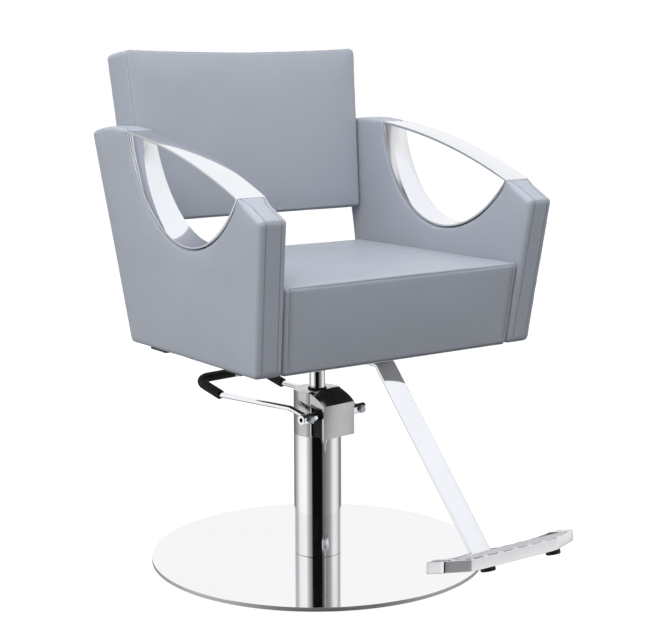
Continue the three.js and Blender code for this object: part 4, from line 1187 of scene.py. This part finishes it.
def arm_band(side, sign):
    outer, inner = band_loop(BAND_LINING, 0), band_loop(0, BAND_STRIP)
    n = len(outer)
    vertices = []
    for w in (0, ARM_WIDTH):
        for loop in (outer, inner):
            vertices += [(sign * (arm_inner(y, z) + w), y, z) for y, z in loop]
    faces = []
    for i in range(n):
        k = (i + 1) % n
        faces += [
            [i, k, n + k, n + i],
            [2 * n + i, 2 * n + k, 3 * n + k, 3 * n + i],
            [i, k, 2 * n + k, 2 * n + i],
            [n + i, n + k, 3 * n + k, 3 * n + i],
        ]
    made = outward(piece(f"arm_band_{side}_chrome", vertices, faces))
    smooth(bevelled(made, 0.7, 2, 50), 40)
    return fitted(clothed(made, chrome_plate()), "chair", "chrome", f"arm_band_{side}")


class CHAIR_OT_bands(StepOperator, bpy.types.Operator):
    """Bend the chrome crescent that lines each arm's opening and makes the armrest."""

    bl_idname = "chair.bands"
    bl_label = "Chrome armrest bands"

    def build(self, scene):
        arm_band("left", 1)
        arm_band("right", -1)


SEAT_WIDTH = 470
SEAT_STITCH = 8.4


class CHAIR_OT_seat(StepOperator, bpy.types.Operator):
    """Sew the seat's boxed cushion over its foam and board."""

    bl_idname = "chair.seat"
    bl_label = "Seat cushion"

    def build(self, scene):
        settings = scene.chair_upholstery
        front_foot, front_top, rear = -238, -256, 185
        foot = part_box("seat_cushion")[0].z / MM - 0.05

        def place(y, z, w):
            return (w / SEAT_WIDTH * 2 - 1) * (arm_inner(y, z) - 1.0), y, z

        def crowned(points):
            y, z = points[:, 0], points[:, 1]
            from_edges = np.minimum(y - front_top, rear - y)
            on_top = (z > SEAT_TOP - 3) * np.clip(from_edges / 90, 0, 1) ** 0.5
            on_front = (y < front_foot + 1) * (z < SEAT_TOP - 4)
            up_front = np.clip((z - foot) / (SEAT_TOP - foot), 0, 1)
            return on_top + 0.45 * on_front * np.sin(np.pi * up_front)

        stations = [(6.6, 0), (SEAT_STITCH - 0.9, 0.3), (SEAT_STITCH, 1), (SEAT_STITCH + 0.9, 0.3)]
        stations += [(w, 0) for w in np.linspace(18, SEAT_WIDTH - 18, 44)]
        stations += [(SEAT_WIDTH - w, seam) for w, seam in stations[3::-1]]
        made, outline, grid, lines = upholstered(
            "seat_cushion_upholstery",
            [
                (front_foot, foot, 6.4, 0.3),
                (rear, foot, 6.4, 0),
                (rear, SEAT_TOP, 9, 0.5),
                (front_top, SEAT_TOP, 6.4, 1),
            ],
            SEAT_WIDTH,
            stations,
            place,
            settings,
            spacing=7,
            edge_radius=6,
            sewn_edge=0,
            seam_depth=0.8,
            stitch_mask=lambda p: ((p[:, 0] < -230) & (p[:, 1] > foot + 8)).astype(float),
            gusset_mask=crowned,
            gusset_crown=5.0,
            panel_crown=(0, 0),
            swell=2.5,
            voxel=8,
            seed=5,
        )
        for vertex in made.data.vertices:
            vertex.co.z = max(vertex.co.z, foot * MM)
            half = (arm_inner(vertex.co.y / MM, vertex.co.z / MM) - 0.5) * MM
            vertex.co.x = min(max(vertex.co.x, -half), half)
        clothed(made, pu_leatherette(settings))
        fitted(made, "chair", "upholstery", "seat_cushion")
        face = [i for i, p in enumerate(outline) if p[0] < -230 and foot + 8 < p[1] < SEAT_TOP - 5]
        rows = seam_paths(made, grid, lines, (SEAT_STITCH, SEAT_WIDTH - SEAT_STITCH), face)
        stitches("seat_stitching", rows, "chair", "upholstery", settings)


class CHAIR_OT_back(StepOperator, bpy.types.Operator):
    """Sew the backrest's boxed cushion over its foam and board."""

    bl_idname = "chair.back"
    bl_label = "Backrest cushion"

    def build(self, scene):
        settings = scene.chair_upholstery
        lean = math.atan2(BACK_TOP[0] - BACK_FOOT[0], BACK_TOP[1] - BACK_FOOT[1])
        height = math.dist(BACK_FOOT, BACK_TOP)
        top_inset, sag = 14, 4.5

        def place(x, h, w):
            y = BACK_FOOT[0] + h * math.sin(lean) + w * math.cos(lean)
            return x, y, BACK_FOOT[1] + h * math.cos(lean) - w * math.sin(lean)

        top = arc((BACK_HALF_TOP - top_inset, height), (top_inset - BACK_HALF_TOP, height), sag, 40)
        corners = [
            (-BACK_HALF_FOOT, 0, 9, 0),
            (BACK_HALF_FOOT, 0, 9, 0),
            (BACK_HALF_TOP, height, 9, 0),
            *top,
            (-BACK_HALF_TOP, height, 9, 0),
        ]
        made, *_ = upholstered(
            "back_cushion_upholstery",
            corners,
            BACK_THICKNESS,
            [(8, 0), (14, 0), (24, 0), (35.5, 0), (47, 0), (57, 0), (63, 0)],
            place,
            settings,
            panel_crown=(5.0, 2.5),
            gusset_crown=1.0,
            swell=2.0,
            voxel=7,
            seed=11,
        )
        clothed(made, pu_leatherette(settings))
        fitted(made, "chair", "upholstery", "back_cushion")


class CHAIR_OT_base(StepOperator, bpy.types.Operator):
    """Spin the base plate's polished skin and the column's chrome sleeve."""

    bl_idname = "chair.base"
    bl_label = "Base and column"

    def build(self, scene):
        r, top, sheet, hole = BASE_RADIUS, BASE_TOP, 0.8, 34
        skin = lathe(
            "base_cover_skin",
            [
                (hole, top - sheet),
                (r - sheet, top - sheet),
                (r - sheet, BASE_FOOT),
                (r, BASE_FOOT),
                (r, top - 1.1),
                (r - 0.3, top - 0.35),
                (r - 1.1, top),
                (hole, top),
            ],
            240,
        )
        clothed(skin, mirror_stainless())
        skin.data.materials.append(turned_edge())
        for face in skin.data.polygons:
            if math.hypot(face.center.x, face.center.y) > (r - 0.5) * MM:
                face.material_index = 1
        fitted(smooth(skin), "base", "mirror_steel", "base_cover")
        c = COLUMN_RADIUS
        sleeve = lathe(
            "column_sleeve_chrome",
            [
                (c - 1.5, SLEEVE_FOOT),
                (c - 0.4, SLEEVE_FOOT),
                (c, SLEEVE_FOOT + 0.4),
                (c, SLEEVE_TOP - 0.4),
                (c - 0.4, SLEEVE_TOP),
                (c - 1.5, SLEEVE_TOP),
            ],
            192,
        )
        fitted(clothed(smooth(sleeve), chrome_plate()), "base", "chrome", "column_sleeve")
        kept(["base_floor_pad"], moulded_rubber())
        kept(["base_plate"], powder_coat())
        kept([f"base_bolt_{k}" for k in (1, 2, 3, 4)], zinc_plate())


def cowl_form(name, inset):
    """The cowl's closed form: a drum with a square nose whose roof falls to the brow."""
    front, top = NOSE_FRONT_Y + inset, COWL_TOP - inset
    low = COWL_FOOT - (5 if inset else 0)
    half = NOSE_HALF_WIDTH - inset
    start, end = (front, BROW_Z - inset / 2), (ROOF_REAR_Y, top)
    pull = (ROOF_PULL[0] + inset, ROOF_PULL[1] - inset)
    roof = []
    for k in range(25):
        t = k / 24
        roof.append(
            tuple((1 - t) ** 2 * a + 2 * t * (1 - t) * b + t * t * c for a, b, c in zip(start, pull, end))
        )
    drum = lathe(name, [(0, low), (COLUMN_RADIUS - inset, low), (COLUMN_RADIUS - inset, top), (0, top)], 160)
    nose = across("nose", [(0, low), (front, low), *roof, (0, top)], -half, half)
    whole = boolean(drum, nose, "UNION")
    above = [*roof, (ROOF_REAR_Y, top + 20), (front - 10, top + 20), (front - 10, BROW_Z)]
    return outward(boolean(whole, across("above", above, -60, 60)))


class CHAIR_OT_pump_head(StepOperator, bpy.types.Operator):
    """Press the pump head's cowl, with its open cheeks for the pedal's shaft."""

    bl_idname = "chair.pump_head"
    bl_label = "Pump head"

    def build(self, scene):
        cowl = cowl_form("pump_cowl_pressing", 0)
        bevelled(cowl, 0.9, 2, 60)
        boolean(cowl, cowl_form("hollow", COWL_WALL))
        boolean(cowl, across("cheeks", [(-52.4, 200), (-24, 200), (-24, 284), (-52.4, 284)], -60, 60))
        boolean(cowl, lathe("ram_hole", [(0, 290), (16, 290), (16, 330), (0, 330)], 96))
        placed(outward(cowl), Matrix.Rotation(PUMP_YAW, 4, "Z"))
        fitted(clothed(smooth(cowl, 30), satin_chrome()), "base", "chrome", "pump_cowl")
        inner, outer = RAM_RADIUS + 0.3, RAM_RADIUS + 3
        wiper = lathe(
            "ram_wiper_ring",
            [
                (inner, COWL_TOP - 3),
                (outer - 1.4, COWL_TOP - 3),
                (outer - 1.4, COWL_TOP + 0.2),
                (outer, COWL_TOP + 0.2),
                (outer - 0.2, COWL_TOP + 1.6),
                (outer - 1.2, COWL_TOP + 2.9),
                (inner, COWL_TOP + 3),
            ],
            64,
            PUMP_YAW,
        )
        fitted(clothed(smooth(wiper), moulded_rubber()), "base", "rubber", "ram_wiper")
        kept(["pump_head_casting", "pump_foot_flange"], grey_iron())
        kept(["pump_reservoir_tube", "pump_cylinder", "pump_rocker"], ground_steel())
        kept(["pump_plunger", "pump_plunger_spring"], ground_steel())
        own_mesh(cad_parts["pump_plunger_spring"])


def mirrored(point):
    return (-point[0], point[1], point[2])


class CHAIR_OT_pedal(StepOperator, bpy.types.Operator):
    """Bend the pedal's bar round the column and fit its shaft, bolts and ribbed grip."""

    bl_idname = "chair.pedal"
    bl_label = "Foot pedal"

    def build(self, scene):
        settings = scene.chair_pedal
        bail = [*BAIL, *[mirrored(p) for p in BAIL[::-1]]]
        rod = tube("pedal_rod_bar", bent(bail, [BAIL_BEND] * 6), settings.rod_radius / MM, 24, PUMP_YAW)
        fitted(clothed(smooth(rod, 50), chrome_plate()), "pedal", "chrome", "pedal_rod")
        line = bent(bail[2:6], [BAIL_BEND] * 2, 16)
        core = tube("grip_core", line, settings.grip_radius / MM - 0.6, 28, PUMP_YAW)
        clothed(smooth(core, 50), moulded_rubber())
        turn = Matrix.Rotation(PUMP_YAW, 3, "Z")
        sizes = {
            "Pitch": settings.rib_pitch,
            "Ring radius": settings.grip_radius - settings.rib_radius * 0.55,
            "Rib radius": settings.rib_radius,
        }
        ribs = along(
            "grip_ribs", [[turn @ p for p in line]], "rib_rings", ring_shape, sizes, moulded_rubber()
        )
        grip = joined("pedal_grip_rubber", [core, ribs])
        fitted(grip, "pedal", "rubber", "pedal_grip")
        end = SHAFT_HALF_LENGTH
        right_end = [(9, end - 0.8), (8.2, end), (4.3, end), (3.6, end - 0.7), (3.6, end - 7), (0, end - 7)]
        profile = [(r, -z) for r, z in right_end[::-1]] + right_end
        lie = Matrix.Rotation(PUMP_YAW, 4, "Z") @ Matrix.Translation(Vector((0, SHAFT_Y, SHAFT_Z)) * MM)
        shaft = clothed(lathe("pedal_cross_shaft_bar", profile, 64), chrome_plate())
        # Painted shade: the faces inside the end holes get the black rubber finish, a dark surface put where
        # the recess only holds shade.
        shaft.data.materials.append(moulded_rubber())
        for face in shaft.data.polygons:
            if math.hypot(face.center.x, face.center.y) < 3.7 * MM:
                face.material_index = 1
        placed(shaft, lie @ Matrix.Rotation(math.pi / 2, 4, "Y"))
        fitted(smooth(outward(shaft)), "pedal", "chrome", "pedal_cross_shaft")
        for side, x in (("left", CLAMP_X), ("right", -CLAMP_X)):
            head = lathe("head", [(0, 5.0), (4.9, 5.0), (6.4, 4.5), (7.2, 3.9), (7.2, 0.9), (0, 0.9)], 6)
            collar = lathe("collar", [(0, 1.2), (6.6, 1.2), (6.9, 0.9), (6.9, 0), (0, 0)], 40)
            bolt = joined(f"pedal_clamp_bolt_{side}_hex", [head, collar])
            face = Matrix.Translation(Vector((x, -SHAFT_RADIUS - 0.3, 0)) * MM)
            placed(bolt, lie @ face @ Matrix.Rotation(math.pi / 2, 4, "X"))
            smooth(clothed(bolt, zinc_plate()), 20)
            fitted(bolt, "pedal", "chrome", f"pedal_clamp_bolt_{side}")


class CHAIR_OT_ram(StepOperator, bpy.types.Operator):
    """Turn the ram, its hub and the piston's finishes."""

    bl_idname = "chair.ram"
    bl_label = "Ram and hub"

    def build(self, scene):
        taper = HUB_FOOT + 4
        r = RAM_RADIUS
        profile = [(0, RAM_FOOT), (r, RAM_FOOT), (r, taper), (r - 1.5, RAM_TOP), (0, RAM_TOP)]
        ram = lathe("ram_bar", profile, 128)
        fitted(clothed(smooth(ram), chrome_plate()), "chair", "chrome", "ram")
        hub_radius, bore = 25, RAM_RADIUS + 0.3
        hub = lathe(
            "seat_hub_socket",
            [
                (bore, HUB_FOOT),
                (hub_radius - 2, HUB_FOOT),
                (hub_radius, HUB_FOOT + 2),
                (hub_radius, HUB_TOP - 7),
                (hub_radius + 3.5, HUB_TOP),
                (bore, HUB_TOP),
            ],
            80,
        )
        fitted(clothed(smooth(hub), powder_coat()), "chair", "dark_steel", "seat_hub")
        kept(["ram_piston"], ground_steel())
        kept(["ram_piston_seal"], moulded_rubber())


class CHAIR_OT_steelwork(StepOperator, bpy.types.Operator):
    """Finish the steel, boards and lining under the covers and fit their bolts."""

    bl_idname = "chair.steelwork"
    bl_label = "Steelwork and boards"

    def build(self, scene):
        kept(["seat_mounting_plate", "seat_cross_bar_front", "seat_cross_bar_rear"], powder_coat())
        kept(["arm_core_left", "arm_core_right", "seat_board", "back_board"], birch_plywood())
        kept(["seat_underside_cloth"], black_lining())
        kept([f"back_stud_{s}_{e}" for s in ("left", "right") for e in ("lower", "upper")], zinc_plate())
        names = [f"plate_bolt_{k}" for k in (1, 2, 3, 4)] + ["strut_bolt_front", "strut_bolt_rear"]
        names += [f"arm_bolt_{s}_{e}" for s in ("left", "right") for e in ("front", "rear")]
        head_height = 5.0
        places = []
        for name in names:
            low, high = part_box(name)
            middle = (low + high) / 2 / MM
            z = low.z / MM + head_height / 2
            places.append([(middle.x, middle.y, z + lift) for lift in (0, 5)])
        sizes = {
            "Pitch": 1.0,
            "Head radius": 7.2 * MM,
            "Head height": (head_height - WASHER_THICKNESS) * MM,
            "Washer radius": 9.5 * MM,
        }
        bolts = along("seat_fixings", places, "hex_bolts", hex_shape, sizes, zinc_plate())
        fitted(smooth(bolts, 30), "chair", "dark_steel", *names)


def strut_outline(growth, radius=STRUT_BEND_RADIUS, steps=18):
    """The strut's side view, grown all round for cutting its socket."""
    tongue_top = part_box("footrest_strut")[1].z / MM
    slope = math.atan2(STRUT_SLOPE, 1)
    bend = math.pi / 2 - slope
    bend_y = STRUT_FOOT[0] + STRUT_SLOPE * (tongue_top - STRUT_FOOT[1])
    centre = (bend_y + radius * math.tan(bend / 2), tongue_top - radius)
    down = (-math.sin(slope), -math.cos(slope))
    outside = (-math.cos(slope), math.sin(slope))

    def rounded(reach):
        angles = [math.pi / 2 + bend * k / steps for k in range(steps + 1)]
        return [(centre[0] + reach * math.cos(a), centre[1] + reach * math.sin(a)) for a in angles]

    def foot(offset):
        return tuple(STRUT_FOOT[k] + outside[k] * offset + down[k] * growth for k in (0, 1))

    return [
        (STRUT_REAR_Y, tongue_top + growth),
        *rounded(radius + growth),
        foot(growth),
        foot(-STRUT_THICKNESS - growth),
        *rounded(radius - STRUT_THICKNESS - growth)[::-1],
        (STRUT_REAR_Y, tongue_top - STRUT_THICKNESS - growth),
    ]


TREAD_OUTLINE = [
    (-90, -525, 16),
    (90, -525, 16),
    (135, -514, 4),
    (135, -472, 4),
    (110, -463, 10),
    (32, -459, 5),
    (32, -436, 4),
    (-32, -436, 4),
    (-32, -459, 5),
    (-110, -463, 10),
    (-135, -472, 4),
    (-135, -514, 4),
]


def tread_top(y):
    return TREAD_FRONT[1] - (y - TREAD_FRONT[0]) * math.tan(TREAD_TILT)


class CHAIR_OT_footrest(StepOperator, bpy.types.Operator):
    """Bend the footrest's strut and cast its ribbed tread."""

    bl_idname = "chair.footrest"
    bl_label = "Footrest"

    def build(self, scene):
        settings = scene.chair_tread
        half = STRUT_WIDTH / 2
        strut = across("footrest_strut_bar", strut_outline(0), -half, half)
        bevelled(strut, 1.7, 3, 50)
        fitted(clothed(smooth(strut, 30), chrome_plate()), "chair", "chrome", "footrest_strut")
        outline, _ = resampled([(x, y, r, 0) for x, y, r in TREAD_OUTLINE], 8)
        n = len(outline)
        vertices = [(x, y, tread_top(y) - drop) for drop in (TREAD_THICKNESS, 0) for x, y in outline]
        faces = [list(range(n)), list(range(n, 2 * n))]
        faces += [[i, (i + 1) % n, n + (i + 1) % n, n + i] for i in range(n)]
        tread = outward(piece("tread", vertices, faces))
        bevelled(tread, 1.3, 3, 50)
        socket = across("socket", strut_outline(1.6), -half - 1.6, half + 1.6)
        boolean(tread, socket)
        clothed(tread, cast_aluminium())
        radius = settings.rib_bar_radius / MM
        sink = radius - settings.rib_height / MM
        bars = []
        for k in range(-4, 5):
            x = k * settings.rib_pitch / MM
            front, rear = (-524.2, -470) if abs(x) < 25 else (-524.2, -466)
            if abs(x) > 110:
                front, rear = -516.5, -474
            middle = (front + rear) / 2
            normal = (math.sin(TREAD_TILT), math.cos(TREAD_TILT))
            centre = (x, middle - normal[0] * sink, tread_top(middle) - normal[1] * sink)
            on = (centre[0], centre[1] + math.cos(TREAD_TILT), centre[2] - math.sin(TREAD_TILT))
            bars.append(([centre, on], rear - front))
        made = [tread]
        for span in sorted({bar[1] for bar in bars}):
            sizes = {
                "Pitch": 1.0,
                "Bar radius": settings.rib_bar_radius,
                "Bar length": span / math.cos(TREAD_TILT) * MM,
            }
            paths = [path for path, other in bars if other == span]
            ribs = along(f"ribs_{round(span)}", paths, "tread_ribs", bar_shape, sizes, cast_aluminium())
            inner, _ = resampled([(x, y, r, 0) for x, y, r in TREAD_OUTLINE], 8)
            room = [(x * 0.997, y + (0.5 if y < -490 else -0.5), z) for z in (60, 190) for x, y in inner]
            made.append(boolean(ribs, outward(piece("room", room, faces)), "INTERSECT"))
        whole = joined("footrest_tread_casting", made)
        for vertex in whole.data.vertices:
            beyond = abs(vertex.co.x) - 0.086
            vertex.co.z += 0.155 * (math.hypot(beyond, 0.006) + beyond) / 2
        whole.data.update()
        fitted(smooth(whole, 35), "chair", "cast_aluminium", "footrest_tread")
        for side, x in (("right", -42), ("left", 95)):
            profile = [(0, -7), (3, -7), (3.4, -4.5), (5.4, -4.5), (5.8, -7)]
            profile += [(10.6, -7), (12, -5.6), (12, 0), (0, 0)]
            bumper = lathe(f"footrest_bumper_{side}_rubber", profile, 48)
            seat = Vector((x, -508, tread_top(-508) - TREAD_THICKNESS - 0.3)) * MM
            placed(bumper, Matrix.Translation(seat) @ Matrix.Rotation(-TREAD_TILT, 4, "X"))
            smooth(clothed(bumper, moulded_rubber()))
            fitted(bumper, "chair", "rubber", f"footrest_bumper_{side}")


# ---- Stage --------------------------------------------------------------------------------------
CAMERA_PLACE = (-1.6074, -2.2578, 0.9140)
CAMERA_YAW, CAMERA_PITCH, CAMERA_ROLL = (math.radians(a) for a in (-35.942, 9.811, -0.151))
CAMERA_LENS = 86.405

# What polished metal sees round the studio: degrees round from the camera, and brightness.
# A tall black screen stands by the camera, with grey and white screens to its sides.
LOW_SCREENS = [
    (-180, 0.25), (-147, 0.2), (-133, 0.36), (-122, 0.48), (-113, 0.63), (-105, 0.78), (-96, 1.0),
    (-59, 1.06), (-54, 0.9), (-49, 0.65), (-39, 0.42), (-29, 0.27), (-25, 0.004), (21, 0.004),
    (27, 0.14), (49, 0.27), (64, 0.38), (71, 0.58), (77, 0.8), (90, 0.94), (105, 0.87),
    (113, 0.72), (122, 0.5), (133, 0.22), (147, 0.3), (180, 0.25),
]
HIGH_SCREENS = [(-180, 1.0), (-154, 1.0), (-143, 0.6), *LOW_SCREENS[3:-3]]
HIGH_SCREENS += [(133, 0.45), (147, 0.8), (156, 1.0), (180, 1.0)]


def screens(tree, around, stops, tint):
    ramp = add(tree, "ShaderNodeValToRGB", {"Fac": around})
    elements = ramp.color_ramp.elements
    while len(elements) > 1:
        elements.remove(elements[0])
    for k, (degrees, bright) in enumerate(stops):
        element = elements[0] if k == 0 else elements.new((degrees + 180) / 360)
        element.position = (degrees + 180) / 360
        element.color = (*[bright * c for c in tint], 1)
    return ramp.outputs["Color"]


def studio_world(fill):
    world = bpy.data.worlds.new("studio")
    world.use_nodes = True
    tree = world.node_tree
    tree.nodes.clear()
    way = add(tree, "ShaderNodeTexCoord").outputs["Generated"]
    parts = add(tree, "ShaderNodeSeparateXYZ", {"Vector": way})
    front = add(tree, "ShaderNodeMath", {0: parts.outputs["Y"], 1: -1.0}, operation="MULTIPLY")
    angle = add(
        tree, "ShaderNodeMath", {0: parts.outputs["X"], 1: front.outputs[0]}, operation="ARCTAN2"
    )
    turned = add(tree, "ShaderNodeMath", {0: angle.outputs[0], 1: CAMERA_YAW}, operation="SUBTRACT")
    wrapped = add(
        tree, "ShaderNodeMath", {0: turned.outputs[0], 1: math.pi, 2: -math.pi}, operation="WRAP"
    )
    around = add(
        tree,
        "ShaderNodeMapRange",
        {"Value": wrapped.outputs[0], "From Min": -math.pi, "From Max": math.pi},
    ).outputs["Result"]
    low = screens(tree, around, LOW_SCREENS, (1, 1, 1))
    high = screens(tree, around, HIGH_SCREENS, (0.985, 0.99, 1))
    up = parts.outputs["Z"]
    walls = between(tree, up, low, high, 0.0, 0.08)
    reflected = between(tree, up, walls, (0.97, 0.99, 1.03, 1), 0.42, 0.6)
    path = add(tree, "ShaderNodeLightPath")
    lit = between(tree, path.outputs["Is Camera Ray"], (fill, fill, fill * 1.02, 1), (1, 1, 1, 1), 0, 1)
    shown = between(tree, path.outputs["Is Glossy Ray"], lit, reflected, 0, 1)
    background = add(tree, "ShaderNodeBackground", {"Color": shown, "Strength": 1.0})
    add(tree, "ShaderNodeOutputWorld", {"Surface": background.outputs["Background"]})
    return world


def softbox(name, size, power, place, aim):
    """A square area light that doesn't show in reflections."""
    data = bpy.data.lights.new(name, "AREA")
    data.shape = "SQUARE"
    data.size = size
    data.energy = power
    light = linked(name, data)
    light.location = place
    light.rotation_mode = "QUATERNION"
    light.rotation_quaternion = (Vector(aim) - Vector(place)).to_track_quat("-Z", "Y")
    light.visible_glossy = False


class CHAIR_OT_stage(StepOperator, bpy.types.Operator):
    """Set up the paper floor, the softboxes, the screens and the camera."""

    bl_idname = "chair.stage"
    bl_label = "Studio stage"

    def build(self, scene):
        settings = scene.chair_stage
        size = 30000
        floor = piece(
            "floor",
            [(-size, -size, -0.3), (size, -size, -0.3), (size, size, -0.3), (-size, size, -0.3)],
            [[0, 1, 2, 3]],
        )
        clothed(floor, studio_paper())
        floor.visible_glossy = False
        softbox("overhead_softbox", 3.0, settings.overhead, (-0.5, -1.1, 3.0), (0, 0, 0.5))
        softbox("side_softbox", 1.8, settings.side, (-3.0, 0.1, 1.3), (0, 0, 0.7))
        scene.world = studio_world(settings.fill)
        scene.view_settings.view_transform = "Standard"
        scene.view_settings.look = "None"
        data = bpy.data.cameras.new("camera")
        data.lens = CAMERA_LENS
        data.sensor_width = 36
        camera = linked("camera", data)
        a, e = CAMERA_YAW, CAMERA_PITCH
        back = Vector((math.sin(a) * math.cos(e), -math.cos(a) * math.cos(e), math.sin(e)))
        right = Vector((math.cos(a), math.sin(a), 0))
        axes = Matrix((right, back.cross(right), back)).transposed()
        turn = axes @ Matrix.Rotation(CAMERA_ROLL, 3, "Z")
        camera.matrix_world = Matrix.Translation(CAMERA_PLACE) @ turn.to_4x4()
        scene.camera = camera


# ---- Add-on -------------------------------------------------------------------------------------
STEPS = [
    CHAIR_OT_stage,
    CHAIR_OT_base,
    CHAIR_OT_pump_head,
    CHAIR_OT_pedal,
    CHAIR_OT_ram,
    CHAIR_OT_steelwork,
    CHAIR_OT_footrest,
    CHAIR_OT_bands,
    CHAIR_OT_seat,
    CHAIR_OT_back,
    CHAIR_OT_arms,
]
SETTINGS = {
    "chair_upholstery": ChairUpholsterySettings,
    "chair_pedal": ChairPedalSettings,
    "chair_tread": ChairTreadSettings,
    "chair_stage": ChairStageSettings,
}


class CHAIR_PT_build(bpy.types.Panel):
    """Lists the chair's build steps and the sizes and colours that they use."""

    bl_label = "Styling chair"
    bl_idname = "CHAIR_PT_build"
    bl_space_type = "VIEW_3D"
    bl_region_type = "UI"
    bl_category = "Chair"

    def draw(self, context):
        for step in STEPS:
            self.layout.operator(step.bl_idname)
        for name, group in SETTINGS.items():
            box = self.layout.box()
            for key in group.__annotations__:
                box.prop(getattr(context.scene, name), key)


def register():
    for group in [*SETTINGS.values(), *STEPS, CHAIR_PT_build]:
        bpy.utils.register_class(group)
    for name, group in SETTINGS.items():
        setattr(bpy.types.Scene, name, bpy.props.PointerProperty(type=group))


def unregister():
    for name in SETTINGS:
        delattr(bpy.types.Scene, name)
    for group in [CHAIR_PT_build, *STEPS[::-1], *list(SETTINGS.values())[::-1]]:
        bpy.utils.unregister_class(group)


def main():
    register()
    for step in STEPS:
        group, name = step.bl_idname.split(".")
        getattr(getattr(bpy.ops, group), name)()


if __name__ == "__main__":
    main()
